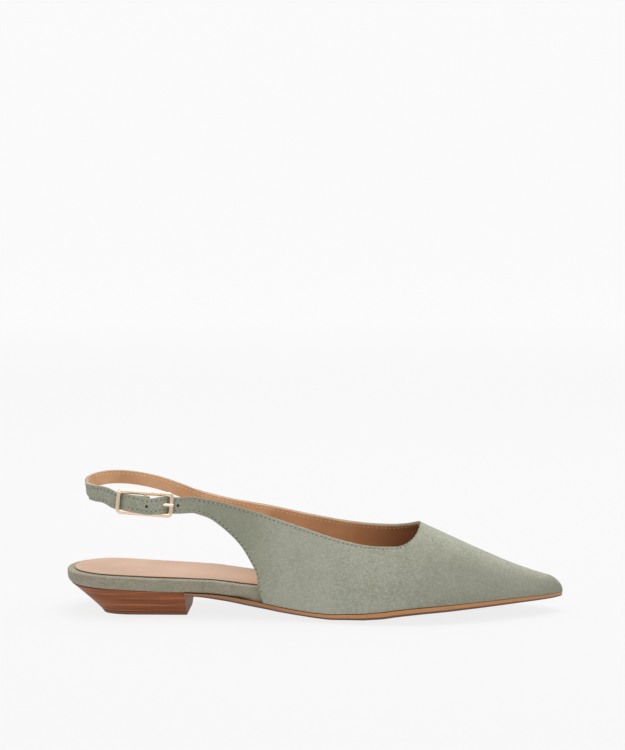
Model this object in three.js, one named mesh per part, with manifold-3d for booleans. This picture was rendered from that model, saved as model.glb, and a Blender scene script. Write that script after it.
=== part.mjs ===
// A woman's slingback flat with a pointed toe and a low stacked heel, for the right foot.
// Millimetres. +X runs to the toe, -Y is the outer side of the foot, +Z is up from the floor.
import * as THREE from "three";
import { mergeVertices } from "three/addons/utils/BufferGeometryUtils.js";
import Module from "manifold-3d";

const wasm = await Module();
wasm.setup();

// Sizes of the last and of the sole
const LENGTH = 270; // back of the footbed to the tip of the toe
const BALL_WIDTH = 76; // across the upper at the ball
const SEAT_WIDTH = 56; // across the footbed at the heel seat
const WAIST_WIDTH = 49.5; // across the footbed at the waist
const HEEL_HEIGHT = 15; // floor to the line of the sole's underside at the seat
const TOE_SPRING = 8; // rise of the sole's underside at the toe
const SOLE = 3.6; // thickest part of the outsole, at the ball
const SOLE_MARGIN = 0.5; // outsole past the upper
const SOLE_INSET = 1.2; // outsole inside the footbed's edge at the waist
const EDGE_ROUND = 0.7; // rounding of the outsole's lower edge
const MARGIN_RUN = 22; // length over which the outsole widens behind the upper
const TOE_TRIM = 0.7; // outsole trimmed closer at the tip of the toe
const CROWN = 2.2; // rise of the sole's edges past its flat middle
const HEEL_ROUND = 29; // length of the round back of the seat
const TOE_ROUND = 6; // length of the round tip of the insole
const CLEARANCE = 0.3; // between pieces that meet

// Sizes of the footbed and the sock
const FOOTBED = 7.7; // thickest part, at the waist
const UNDERCUT = 3.6; // how far the footbed's edge rounds under at the heel
const FOOTBED_ROUND = 0.9; // rounding of the footbed's upper edge
const SOCK = 0.6;
const SOCK_BORDER = 4; // footbed left bare round the sock
const SOCK_END = 0.926 * LENGTH; // front end of the sock, inside the toe
const BED_TURN = 9.5; // length over which the footbed's edge turns upright behind the upper
const BED_LAP = 4; // upright edge of the footbed behind the quarter's corner
const BED_SLACK = 0.4; // footbed's lower edge inside the upper's wall

// Sizes of the heel
const BREAST = 0.25 * LENGTH; // front of the heel from the back of the footbed
const BREAST_SKEW = 1.6; // how far the breast's inner end lies before its middle
const HEEL_INSET = 4.2; // heel's upper edge inside the footbed's edge
const BASE_WIDTH = 31; // heel on the floor
const BASE_LENGTH = 46.4;
const BASE_SIDE = 2; // heel's base shifted to the outer side
const BASE_POWER = 0.62; // how square the back of the heel is on the floor
const HEEL_FLARE = 1.15; // how late the heel's walls spread on their way up
const BREAST_SLOPE = 0.7; // how far the breast leans back to the floor
const TOP_PIECE = 1.6; // wearing layer under the heel

// Sizes of the upper
const WALL = 1.8; // suede with its lining
const THROAT = 0.713 * LENGTH; // from the back of the footbed to the throat
const THROAT_HEIGHT = 48; // top of the vamp at the throat
const COLLAR_HEIGHT = 66; // top edge of the quarter where the strap leaves it
const CORNER = 0.402 * LENGTH; // where the quarter's back edge meets the sole
const RIDGE_SIDE = 3; // how far the ridge lies towards the big toe
const ARCH_POWER = 1.5; // how pointed the section is at the ridge
const RIDGE_SLANT = 1.09; // wall measured upright at the ridge, to the wall itself

// Sizes of the straps and the buckle
const STRAP_WIDTH = 8.2; // buckle strap
const SLING_WIDTH = 7;
const STRAP = 1.4; // thickness
const SLING_HALF = 25; // half the width between the sling's sides
const SLING_TOP = 69.8; // highest point of the sling's middle line
const FRAME_LENGTH = 30.7;
const FRAME_WIDTH = 13.4;
const FRAME_THICK = 1.8;
const BAR = 2.4; // width of the frame's bars
const FRAME_CORNER = 3;
const WINDOW_CORNER = 0.5; // inner corners of the frame
const FRAME_DROP = 4.2; // degrees that the buckle falls towards the toe
const PIVOT = 1.6; // diameter of the centre bar
const PRONG = 1.7;
const HOLE = 1.6;
const HOLE_STEP = 7.9;
const PIN_HOLE = 10; // hole that the pin goes through, from the middle of the frame
const SAG = 1.5; // how far the strap hangs low between the frame's bars
const SLOT = 6.1; // slot of the sling for the pin's ring
const CHAPE = 11; // end of the sling folded back behind the centre bar
const BILLET_END = 19; // end of the billet past the frame, along the sling

// Outline of the footbed: each half as a share of the width named in the row
const LAST_BALL = BALL_WIDTH - 2 * (WALL + CLEARANCE);
const OUTLINE = [
  { at: HEEL_ROUND / LENGTH, of: SEAT_WIDTH, outer: 0.5, inner: 0.5 },
  { at: 0.185, of: SEAT_WIDTH, outer: 0.495, inner: 0.489 },
  { at: 0.259, of: WAIST_WIDTH, outer: 0.545, inner: 0.511 },
  { at: 0.341, of: WAIST_WIDTH, outer: 0.529, inner: 0.465 },
  { at: 0.396, of: WAIST_WIDTH, outer: 0.529, inner: 0.461 },
  { at: 0.474, of: LAST_BALL, outer: 0.404, inner: 0.348 },
  { at: 0.556, of: LAST_BALL, outer: 0.468, inner: 0.426 },
  { at: 0.659, of: LAST_BALL, outer: 0.508, inner: 0.492 },
  { at: 0.741, of: LAST_BALL, outer: 0.476, inner: 0.478 },
  { at: 0.815, of: LAST_BALL, outer: 0.387, inner: 0.404 },
  { at: 0.889, of: LAST_BALL, outer: 0.258, inner: 0.292 },
  { at: 0.944, of: LAST_BALL, outer: 0.139, inner: 0.185 },
  { at: 0.977, of: LAST_BALL, outer: 0.052, inner: 0.109 },
  { at: 1, of: LAST_BALL, outer: -0.009, inner: 0.056 },
];

// Underside of the sole behind the ball, as shares of the heel's height
const ARCH = [
  { at: 0, rise: 0.973 },
  { at: 0.063, rise: 0.947 },
  { at: 0.178, rise: 0.847 },
  { at: 0.248, rise: 0.793 },
  { at: 0.278, rise: 0.747 },
  { at: 0.317, rise: 0.64 },
  { at: 0.356, rise: 0.533 },
  { at: 0.396, rise: 0.407 },
  { at: 0.436, rise: 0.25 },
  { at: 0.476, rise: 0.127 },
  { at: 0.511, rise: 0.04 },
  { at: 0.541, rise: 0 },
  { at: 1, rise: 0 },
];

// Underside of the sole before the ball, as shares of the toe spring
const SPRING = [
  { at: 0.6, rise: 0 },
  { at: 0.633, rise: 0.09 },
  { at: 0.67, rise: 0.28 },
  { at: 0.71, rise: 0.43 },
  { at: 0.75, rise: 0.55 },
  { at: 0.83, rise: 0.74 },
  { at: 0.91, rise: 0.89 },
  { at: 1, rise: 1 },
];

// Thickness along the shoe, as shares of the outsole's and of the footbed's own
const LAYERS = [
  { at: 0, sole: 0.35, footbed: 0.914, crown: 0 },
  { at: 0.167, sole: 0.35, footbed: 0.927, crown: 0 },
  { at: 0.26, sole: 0.47, footbed: 0.909, crown: 0 },
  { at: 0.315, sole: 0.74, footbed: 0.922, crown: 0 },
  { at: 0.352, sole: 0.78, footbed: 0.935, crown: 0 },
  { at: 0.396, sole: 0.78, footbed: 1, crown: 0.1 },
  { at: 0.474, sole: 0.7, footbed: 0.75, crown: 0.5 },
  { at: 0.574, sole: 0.85, footbed: 0.52, crown: 0.9 },
  { at: 0.63, sole: 1, footbed: 0.5, crown: 1 },
  { at: 0.685, sole: 0.97, footbed: 0.49, crown: 0.95 },
  { at: 0.85, sole: 0.85, footbed: 0.42, crown: 0.57 },
  { at: 1, sole: 0.6, footbed: 0.35, crown: 0.1 },
];

// Side of the footbed from its underside up: inset as a share of the undercut round the heel and of
// the slack inside the upper, and height as a share of its thickness in both places
const RAND = [
  { undercut: 1, slack: 1, rise: 0, foreRise: 0 },
  { undercut: 0.45, slack: 0.5, rise: 0.1, foreRise: 0.12 },
  { undercut: 0.1, slack: 0.5, rise: 0.36, foreRise: 0.4 },
];

// Lower edge of the outsole, as shares of its rounding
const SOLE_EDGE = [
  { inset: 1, rise: 0 },
  { inset: 0.25, rise: 0.35 },
  { inset: 0, rise: 1 },
];

// Ridge of the upper as shares of the throat's height, carried on over the open instep
const RIDGE = [
  { at: 0.267, rise: 3.75, side: 0.33 },
  { at: 0.315, rise: 3.5, side: 0.33 },
  { at: 0.396, rise: 2.98, side: 0.33 },
  { at: 0.474, rise: 2.19, side: 0.6 },
  { at: 0.556, rise: 1.56, side: 0.83 },
  { at: 0.63, rise: 1.23, side: 0.95 },
  { at: 0.713, rise: 1, side: 1 },
  { at: 0.752, rise: 0.9, side: 0.98 },
  { at: 0.833, rise: 0.694, side: 0.9 },
  { at: 0.915, rise: 0.506, side: 0.8 },
  { at: 0.977, rise: 0.404, side: 0.7 },
  { at: 1, rise: 0.38, side: 0.65 },
];

// Topline from the strap to the throat, each side's height as a share of the collar's height
const TOPLINE = {
  outer: [
    { at: 0.267, rise: 0.991 },
    { at: 0.326, rise: 0.94 },
    { at: 0.396, rise: 0.857 },
    { at: 0.457, rise: 0.777 },
    { at: 0.518, rise: 0.695 },
    { at: 0.563, rise: 0.642 },
    { at: 0.608, rise: 0.604 },
    { at: 0.644, rise: 0.594 },
    { at: 0.673, rise: 0.598 },
    { at: 0.69, rise: 0.626 },
    { at: 0.7, rise: 0.656 },
    { at: 0.709, rise: 0.7 },
  ],
  inner: [
    { at: 0.267, rise: 0.923 },
    { at: 0.322, rise: 0.873 },
    { at: 0.405, rise: 0.817 },
    { at: 0.488, rise: 0.745 },
    { at: 0.57, rise: 0.683 },
    { at: 0.632, rise: 0.662 },
    { at: 0.673, rise: 0.67 },
    { at: 0.693, rise: 0.688 },
    { at: 0.706, rise: 0.71 },
  ],
};

// Lower edge of the quarter from the strap down to the sole
const BACK_EDGE = {
  outer: [
    { at: 0.267, rise: 0.867 },
    { at: 0.298, rise: 0.82 },
    { at: 0.317, rise: 0.764 },
    { at: 0.337, rise: 0.694 },
    { at: 0.357, rise: 0.606 },
    { at: 0.376, rise: 0.482 },
    { at: 0.388, rise: 0.385 },
    { at: 0.393, rise: 0.26 },
  ],
  inner: [
    { at: 0.267, rise: 0.792 },
    { at: 0.298, rise: 0.745 },
    { at: 0.317, rise: 0.694 },
    { at: 0.337, rise: 0.63 },
    { at: 0.357, rise: 0.55 },
    { at: 0.376, rise: 0.44 },
    { at: 0.388, rise: 0.36 },
    { at: 0.393, rise: 0.25 },
  ],
};

// Middle line of the sling round the heel, from the inner quarter to the buckle
const SLING = [
  { at: 0.222, side: 0.985, rise: 0.879 },
  { at: 0.17, side: 1, rise: 0.945 },
  { at: 0.115, side: 0.905, rise: 0.989 },
  { at: 0.074, side: 0.7, rise: 1 },
  { at: 0.0485, side: 0.38, rise: 0.99 },
  { at: 0.0404, side: 0, rise: 0.974 },
  { at: 0.0485, side: -0.38, rise: 0.957 },
  { at: 0.074, side: -0.7, rise: 0.946 },
  { at: 0.0904, side: -0.83, rise: 0.941 },
];

// Where the buckle stands: middle of its frame
const BUCKLE = {
  at: 0.169 * LENGTH,
  side: -0.484 * SEAT_WIDTH,
  rise: 62.2,
  lean: THREE.MathUtils.degToRad(7),
};
const BACK_LEAN = THREE.MathUtils.degToRad(-13); // further lean of the sling at the heel's back

// Counts of the meshes
const COLUMNS = { back: 11, feather: 17, front: 12, tip: 5 };
const ROWS = 8;
const TURN_STEPS = 7;
const COUNTS = {
  heelRound: 8,
  heelSide: 4,
  heelRise: 3,
  bedRound: 7,
  bed: 26,
  bedTip: 2,
  sock: 24,
  waist: 12,
  forepart: 20,
  tip: 4,
  sling: 88,
  billet: 56,
  billetEnd: 4,
  round: 12,
};
const FINE = 24; // steps between two places where a line is measured
const TOUCH = 1e-3; // points closer than this meet

// Smooth curve through one column of a table, with no overshoot between its rows
function curve(rows, column) {
  const xs = rows.map((row) => row.at * LENGTH);
  const ys = rows.map(column);
  const slopes = ys.map((y, i) => (i ? (y - ys[i - 1]) / (xs[i] - xs[i - 1]) : 0));
  const tangents = ys.map((_, i) => {
    if (i === 0) return slopes[1];
    if (i === ys.length - 1) return slopes[i];
    const product = slopes[i] * slopes[i + 1];
    return product <= 0 ? 0 : (2 * product) / (slopes[i] + slopes[i + 1]);
  });
  return (x) => {
    const held = THREE.MathUtils.clamp(x, xs[0], xs[xs.length - 1]);
    let k = 0;
    while (k < xs.length - 2 && held > xs[k + 1]) k += 1;
    const step = xs[k + 1] - xs[k];
    const t = (held - xs[k]) / step;
    const value = (1 + 2 * t) * (1 - t) ** 2 * ys[k] + t * t * (3 - 2 * t) * ys[k + 1];
    return value + step * t * (1 - t) * ((1 - t) * tangents[k] - t * tangents[k + 1]);
  };
}

const outerHalf = curve(OUTLINE, (row) => row.outer * row.of);
const innerHalf = curve(OUTLINE, (row) => row.inner * row.of);
const archRise = curve(ARCH, (row) => row.rise * HEEL_HEIGHT);
const springRise = curve(SPRING, (row) => row.rise * TOE_SPRING);
const soleThickness = curve(LAYERS, (row) => row.sole * SOLE);
const footbedThickness = curve(LAYERS, (row) => row.footbed * FOOTBED);
const crownRise = curve(LAYERS, (row) => row.crown * CROWN);
const ridgeRise = curve(RIDGE, (row) => row.rise * THROAT_HEIGHT);
const ridgeSide = curve(RIDGE, (row) => row.side * RIDGE_SIDE);

const underside = (x) => archRise(x) + springRise(x);
const soleTop = (x) => underside(x) + soleThickness(x);
const footbedUnder = (x) => soleTop(x) + CLEARANCE;
const footbedTop = (x) => footbedUnder(x) + footbedThickness(x);
const feather = (x) => soleTop(x) + crownRise(x) + CLEARANCE;

// A station is a place along the outline: an angle round the heel, a length, or an angle round the toe
const TIP_START = LENGTH - WALL - CLEARANCE - TOE_ROUND;
const BED_TIP = 0.27 * Math.PI; // angle round the toe where the footbed ends
const HEEL_POWER = 2 / 2.15;
const heelStation = (angle) => ({ x: HEEL_ROUND, heel: angle });
const lengthStation = (x) => ({ x });
const toeStation = (angle) => ({ x: TIP_START, toe: angle });

// Point of the outline, grown outwards by a distance; side is -1 on the outer side and 1 on the inner
function outlinePoint(station, side, grow) {
  const reach = station.toe === undefined ? 0 : (TOE_ROUND + grow) * Math.sin(station.toe);
  const x = station.x + reach;
  const centre = (innerHalf(x) - outerHalf(x)) / 2;
  const half = (innerHalf(x) + outerHalf(x)) / 2 + grow;
  if (station.heel !== undefined) {
    const back = Math.cos(station.heel) ** HEEL_POWER;
    const out = Math.sin(station.heel) ** HEEL_POWER;
    return { x: HEEL_ROUND - (HEEL_ROUND + grow) * back, y: centre + side * half * out };
  }
  const narrowing = station.toe === undefined ? 1 : Math.cos(station.toe);
  return { x, y: centre + side * half * narrowing };
}

const range = (from, to, count) =>
  Array.from({ length: count + 1 }, (_, i) => from + ((to - from) * i) / count);

const heelStations = (count) => range(0, Math.PI / 2, count).slice(0, -1).map(heelStation);

// Triangles of one closed piece, put together from grids and strips of points
class Skin {
  constructor() {
    this.points = [];
  }

  triangle(a, b, c) {
    const area = new THREE.Vector3().crossVectors(b.clone().sub(a), c.clone().sub(a)).length();
    if (area > 1e-7) this.points.push(a, b, c);
  }

  quad(a, b, c, d) {
    if (a.distanceTo(c) <= b.distanceTo(d)) {
      this.triangle(a, b, c);
      this.triangle(a, c, d);
    } else {
      this.triangle(a, b, d);
      this.triangle(b, c, d);
    }
  }

  strip(first, second) {
    for (let i = 0; i + 1 < first.length; i += 1) {
      this.quad(first[i], first[i + 1], second[i + 1], second[i]);
    }
  }

  grid(rows) {
    for (let i = 0; i + 1 < rows.length; i += 1) this.strip(rows[i + 1], rows[i]);
  }

  // Flat or bulging wall inside a ring of points
  fan(ring) {
    const middle = new THREE.Vector3();
    ring.forEach((p) => middle.addScaledVector(p, 1 / ring.length));
    ring.forEach((p, i) => this.triangle(p, ring[(i + 1) % ring.length], middle));
  }

  geometry() {
    const loose = new THREE.BufferGeometry().setFromPoints(this.points);
    return facingOut(mergeVertices(loose, 1e-4));
  }
}

// The same closed geometry with its faces pointing out
function facingOut(geometry) {
  const p = geometry.attributes.position;
  const index = geometry.index.array;
  const corner = [new THREE.Vector3(), new THREE.Vector3(), new THREE.Vector3()];
  let volume = 0;
  for (let i = 0; i < index.length; i += 3) {
    corner.forEach((v, k) => v.fromBufferAttribute(p, index[i + k]));
    volume += corner[0].dot(new THREE.Vector3().crossVectors(corner[1], corner[2]));
  }
  if (volume > 0) return geometry;
  for (let i = 0; i < index.length; i += 3) [index[i], index[i + 1]] = [index[i + 1], index[i]];
  return geometry;
}

// Depth of the sole's flat middle below its edges; share is the place across its half width
const crownDish = (x, share) => crownRise(x) * (1 - Math.max(0, 2 * Math.abs(share) - 1) ** 2);
const CROWN_SHARES = [-1, -0.75, -0.5, 0.5, 0.75, 1];

// A solid of stacked outlines. Each level gives a point of an outline for a station and a side. The
// caps below and above cross the piece at shares of its half width and sink there by their dish.
function stack(stations, levels, shares = [-1, 1], dishes = []) {
  const skin = new Skin();
  const last = levels.length - 1;
  const cap = (level, dish) =>
    stations.map((station) => {
      const [left, right] = [level(station, -1), level(station, 1)];
      const sinks = dish && left.distanceTo(right) > TOUCH;
      return shares.map((share) => {
        const point = left.clone().lerp(right, (1 + share) / 2);
        point.z -= sinks ? dish(point.x, share) : 0;
        return point;
      });
    });
  const bottom = cap(levels[0], dishes[0]);
  const top = cap(levels[last], dishes[1]);
  const edge = (side, k) => {
    if (k > 0 && k < last) return stations.map((station) => levels[k](station, side));
    return (k ? top : bottom).map((row) => row[side < 0 ? 0 : shares.length - 1]);
  };
  const between = range(1, last - 1, last - 2);
  skin.grid(bottom.map((row) => [...row].reverse()));
  skin.grid(top);
  for (let k = 0; k < last; k += 1) {
    skin.strip(edge(-1, k), edge(-1, k + 1));
    skin.strip(edge(1, k + 1), edge(1, k));
  }
  for (const end of [0, stations.length - 1]) {
    const rising = last > 1 ? between.map((k) => edge(1, k)[end]) : [];
    const falling = last > 1 ? between.map((k) => edge(-1, k)[end]).reverse() : [];
    const ring = [...bottom[end], ...rising, ...[...top[end]].reverse(), ...falling];
    const open = ring[0].distanceTo(bottom[end][shares.length - 1]) > TOUCH;
    if (open) skin.fan(end ? ring : ring.reverse());
  }
  return skin.geometry();
}

// Shift along the shoe of a line across it, so that it follows the breast of the heel
function breastShift(x, side) {
  const away = Math.abs(x - BREAST) / (BREAST - HEEL_ROUND);
  return side * BREAST_SKEW * (1 - THREE.MathUtils.smoothstep(away, 0, 1));
}

function outsole() {
  const forepart = WALL + CLEARANCE + SOLE_MARGIN;
  const margin = (x) => {
    const front = THREE.MathUtils.smoothstep(x, CORNER - MARGIN_RUN, CORNER);
    const tip = THREE.MathUtils.smoothstep(x, THROAT, TIP_START);
    return THREE.MathUtils.lerp(-SOLE_INSET, forepart, front) - TOE_TRIM * tip;
  };
  const stations = [
    ...range(BREAST + CLEARANCE, CORNER, COUNTS.waist).map(lengthStation),
    ...range(CORNER, TIP_START, COUNTS.forepart).slice(1).map(lengthStation),
    ...range(0, Math.PI / 2, COUNTS.tip).slice(1).map(toeStation),
  ];
  const level = (inset, height) => (station, side) => {
    const { x, y } = outlinePoint(station, side, margin(station.x) - inset);
    const moved = x + breastShift(x, side);
    return new THREE.Vector3(moved, y, underside(moved) + crownRise(moved) + height(moved));
  };
  const levels = SOLE_EDGE.map((row) => level(row.inset * EDGE_ROUND, () => row.rise * EDGE_ROUND));
  return stack(stations, [...levels, level(0, soleThickness)], CROWN_SHARES, [crownDish, crownDish]);
}

// Section of the upper: u runs from the sole to the ridge as a share of a quarter turn
function wall(station, u, side, inset) {
  const foot = outlinePoint(station, side, WALL + CLEARANCE - inset);
  const tip = station.toe === undefined ? 1 : Math.cos(station.toe);
  const centre = (innerHalf(foot.x) - outerHalf(foot.x)) / 2;
  const ridgeY = centre + (ridgeSide(foot.x) - centre) * tip;
  const low = feather(foot.x);
  const span = (ridgeRise(foot.x) - inset * RIDGE_SLANT - low) * tip;
  const angle = (u * Math.PI) / 2;
  const y = ridgeY + (foot.y - ridgeY) * Math.cos(angle);
  return new THREE.Vector3(foot.x, y, low + span * Math.sin(angle) ** ARCH_POWER);
}

// The u of a height on the upper's section
function heightToTurn(x, z) {
  const share = THREE.MathUtils.clamp((z - feather(x)) / (ridgeRise(x) - feather(x)), 0, 1);
  return Math.asin(share ** (1 / ARCH_POWER)) / (Math.PI / 2);
}

// How far the upper's inner face has come in at a height, from its foot
function wallLean(station, z, side) {
  const foot = wall(station, 0, side, WALL);
  const ridge = wall(station, 1, side, WALL);
  const share = THREE.MathUtils.clamp((z - foot.z) / Math.max(ridge.z - foot.z, 1e-6), 0, 1);
  const turn = Math.asin(share ** (1 / ARCH_POWER));
  return Math.abs(foot.y - ridge.y) * (1 - Math.cos(turn));
}

// 0 where the footbed's edge is open to view and 1 where it stands inside the upper
const insideUpper = (x) =>
  THREE.MathUtils.smoothstep(x, CORNER - BED_LAP - BED_TURN, CORNER - BED_LAP);

function footbed() {
  const level = (heelInset, foreInset, height) => (station, side) => {
    const front = insideUpper(station.x);
    const { x, y } = outlinePoint(station, side, -THREE.MathUtils.lerp(heelInset, foreInset, front));
    const low = footbedUnder(x) + crownRise(x);
    return new THREE.Vector3(x, y, height(low, footbedTop(x), front));
  };
  const low = RAND.map((row) =>
    level(row.undercut * UNDERCUT, row.slack * BED_SLACK, (under, top, front) =>
      THREE.MathUtils.lerp(under, top, THREE.MathUtils.lerp(row.rise, row.foreRise, front)),
    ),
  );
  const leaning = (inset, drop) => (station, side) => {
    const lean = wallLean(station, footbedTop(station.x), side) * insideUpper(station.x);
    return level(inset + lean, inset + lean, (under, top) => top - drop)(station, side);
  };
  const round = FOOTBED_ROUND;
  const stations = [
    ...heelStations(COUNTS.bedRound),
    ...range(HEEL_ROUND, TIP_START, COUNTS.bed).map(lengthStation),
    ...range(0, BED_TIP, COUNTS.bedTip).slice(1).map(toeStation),
  ];
  return stack(stations, [...low, leaning(0, round / 2), leaning(round, 0)], CROWN_SHARES, [crownDish]);
}

function sock() {
  const level = (height) => (station, side) => {
    const top = footbedTop(station.x) + CLEARANCE + SOCK;
    const inset = SOCK_BORDER + insideUpper(station.x) * wallLean(station, top, side);
    const { x, y } = outlinePoint(station, side, -inset);
    return new THREE.Vector3(x, y, footbedTop(x) + CLEARANCE + height);
  };
  const stations = [
    ...heelStations(COUNTS.bedRound),
    ...range(HEEL_ROUND, SOCK_END, COUNTS.sock).map(lengthStation),
  ];
  return stack(stations, [level(0), level(SOCK)]);
}

// The heel's outline at a share of the way from the floor to the footbed
function heelPoint(station, side, share) {
  const high = outlinePoint(station, side, -HEEL_INSET);
  const along = (high.x - HEEL_INSET) / (BREAST - HEEL_INSET);
  const base = BREAST - BREAST_SLOPE - BASE_LENGTH;
  const reach = Math.abs(high.y) / (SEAT_WIDTH / 2 - HEEL_INSET);
  const low = {
    x: base + BASE_LENGTH * along,
    y: (side * reach ** BASE_POWER * BASE_WIDTH) / 2 - BASE_SIDE,
  };
  const flare = share ** HEEL_FLARE;
  const skew = station.heel === undefined ? breastShift(station.x, side) : 0;
  return {
    x: THREE.MathUtils.lerp(low.x, high.x + skew, flare),
    y: THREE.MathUtils.lerp(low.y, high.y, flare),
  };
}

const heelOutline = () => [
  ...heelStations(COUNTS.heelRound),
  ...range(HEEL_ROUND, BREAST, COUNTS.heelSide).map(lengthStation),
];

function heelBlock() {
  const level = (share) => (station, side) => {
    const { x, y } = heelPoint(station, side, THREE.MathUtils.lerp(TOP_PIECE / HEEL_HEIGHT, 1, share));
    const low = TOP_PIECE + CLEARANCE;
    return new THREE.Vector3(x, y, THREE.MathUtils.lerp(low, soleTop(x), share));
  };
  return stack(heelOutline(), range(0, 1, COUNTS.heelRise).map(level));
}

function heelTopPiece() {
  const level = (height) => (station, side) => {
    const { x, y } = heelPoint(station, side, height / HEEL_HEIGHT);
    return new THREE.Vector3(x, y, height);
  };
  return stack(heelOutline(), [level(0), level(TOP_PIECE)]);
}

// An edge of the quarter as points in length and height, evenly apart on the upper's surface
function edgeLine(rows, end, side, count) {
  const inside = rows.map((row) => new THREE.Vector2(row.at * LENGTH, row.rise * COLLAR_HEIGHT));
  const fine = new THREE.SplineCurve([...inside, end]).getPoints(FINE * count);
  const onWall = fine.map(({ x, y }) => wall(lengthStation(x), heightToTurn(x, y), side, 0));
  const run = [0];
  onWall.slice(1).forEach((p, i) => run.push(run[i] + p.distanceTo(onWall[i])));
  return range(0, run[run.length - 1], count).map((goal) => {
    const after = Math.min(Math.max(run.findIndex((length) => length >= goal), 1), run.length - 1);
    const share = (goal - run[after - 1]) / (run[after] - run[after - 1]);
    return fine[after - 1].clone().lerp(fine[after], share);
  });
}

// Columns of one half of the upper: each runs from its lower end to its upper end
function upperColumns(name, side) {
  const throat = new THREE.Vector2(THROAT, ridgeRise(THROAT));
  const corner = new THREE.Vector2(CORNER, feather(CORNER));
  const high = edgeLine(TOPLINE[name], throat, side, COLUMNS.back + COLUMNS.feather);
  const back = edgeLine(BACK_EDGE[name], corner, side, COLUMNS.back);
  const foot = range(CORNER, THROAT, COLUMNS.feather).slice(1);
  const low = [...back, ...foot.map((x) => new THREE.Vector2(x, feather(x)))];
  const rear = high.map((top, i) => ({
    top: { station: lengthStation(top.x), u: heightToTurn(top.x, top.y) },
    low: { station: lengthStation(low[i].x), u: heightToTurn(low[i].x, low[i].y) },
  }));
  const whole = (station) => ({ top: { station, u: 1 }, low: { station, u: 0 } });
  const front = [
    ...range(THROAT, TIP_START, COLUMNS.front).slice(1).map(lengthStation),
    ...range(0, Math.PI / 2, COLUMNS.tip).slice(1).map(toeStation),
  ];
  rear[rear.length - 1].top.u = 1;
  return { rear: rear.length, columns: [...rear, ...front.map(whole)] };
}

function upperHalf(skin, name, side) {
  const { rear, columns } = upperColumns(name, side);
  const face = (inset) =>
    columns.map(({ top, low }) =>
      range(0, 1, ROWS).map((v) => {
        const x = THREE.MathUtils.lerp(low.station.x, top.station.x, v);
        const station = { ...low.station, x };
        return wall(station, THREE.MathUtils.lerp(low.u, top.u, v), side, inset);
      }),
    );
  const outside = face(0);
  const inside = face(WALL);
  const turned = side > 0;
  const put = (rows) => skin.grid(turned ? rows.map((row) => [...row].reverse()) : rows);
  const rim = (a, b) => (turned ? skin.strip(b, a) : skin.strip(a, b));
  put(outside);
  put(inside.map((row) => [...row].reverse()));
  rim(inside.map((row) => row[0]), outside.map((row) => row[0]));
  rim(outside.slice(0, rear).map((row) => row[ROWS]), inside.slice(0, rear).map((row) => row[ROWS]));
  rim(outside[0], inside[0]);
}

function upper() {
  const skin = new Skin();
  upperHalf(skin, "outer", -1);
  upperHalf(skin, "inner", 1);
  return skin.geometry();
}

// Corners of a quarter's end, where its strap starts: lower and upper, outside and inside
function wingEnd(name, side) {
  const { columns } = upperColumns(name, side);
  const { top, low } = columns[0];
  const shift = new THREE.Vector3(-CLEARANCE, 0, 0);
  const corner = (end, inset) => wall(end.station, end.u, side, inset).add(shift);
  const trim = (WALL - STRAP) / 2;
  return [trim, WALL - trim].map((inset) => [corner(low, inset), corner(top, inset)]);
}

// Directions of the buckle: along to the toe, out from the foot, and up across the strap
const dropped = THREE.MathUtils.degToRad(FRAME_DROP);
const ALONG = new THREE.Vector3(Math.cos(dropped), 0, -Math.sin(dropped));
const ACROSS = new THREE.Vector3(0, Math.sin(BUCKLE.lean), Math.cos(BUCKLE.lean))
  .addScaledVector(ALONG, Math.sin(dropped) * Math.cos(BUCKLE.lean))
  .normalize();
const OUT = new THREE.Vector3().crossVectors(ALONG, ACROSS);
const buckleMiddle = new THREE.Vector3(BUCKLE.at, BUCKLE.side, BUCKLE.rise);
const buckleTurn = new THREE.Matrix4().makeBasis(ALONG, ACROSS, OUT).setPosition(buckleMiddle);
const atBuckle = ({ along, out, across = 0 }) =>
  new THREE.Vector3(along, across, out).applyMatrix4(buckleTurn);

// Depths of the layers in the buckle, from the middle of its frame
const UNDER_BAR = -(FRAME_THICK / 2 + CLEARANCE + STRAP / 2);
const BEHIND_STRAP = UNDER_BAR - STRAP - CLEARANCE;
const LOOP = PIVOT / 2 + CLEARANCE + STRAP / 2;
const OVER_LOOP = LOOP + STRAP + CLEARANCE;
const END_BAR = (FRAME_LENGTH - BAR) / 2;

const SLING_BACK = Math.min(...SLING.map((row) => row.at)) * LENGTH;

// The way across a strap: up, leaning over the foot beside the buckle and square to it there, and
// leaning out at the heel's back
function acrossAt(point) {
  const back = 1 - THREE.MathUtils.smoothstep(point.x, SLING_BACK, BUCKLE.at - END_BAR);
  const lean = BUCKLE.lean + BACK_LEAN * back;
  const inward = new THREE.Vector3(BUCKLE.at - point.x, -point.y, 0);
  inward.x *= back;
  inward.normalize();
  const up = new THREE.Vector3(0, 0, Math.cos(lean)).addScaledVector(inward, Math.sin(lean));
  return up.addScaledVector(ALONG, Math.sin(dropped) * (1 - back));
}

const strapPath = (points) => new THREE.CatmullRomCurve3(points, false, "centripetal");

// Middle of a strap at a share of its path, with the ways across it and out of its face
function strapFrame(path, share) {
  const middle = path.getPointAt(share);
  const tangent = path.getTangentAt(share);
  const across = acrossAt(middle);
  across.addScaledVector(tangent, -across.dot(tangent)).normalize();
  return { middle, across, out: new THREE.Vector3().crossVectors(tangent, across) };
}

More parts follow.
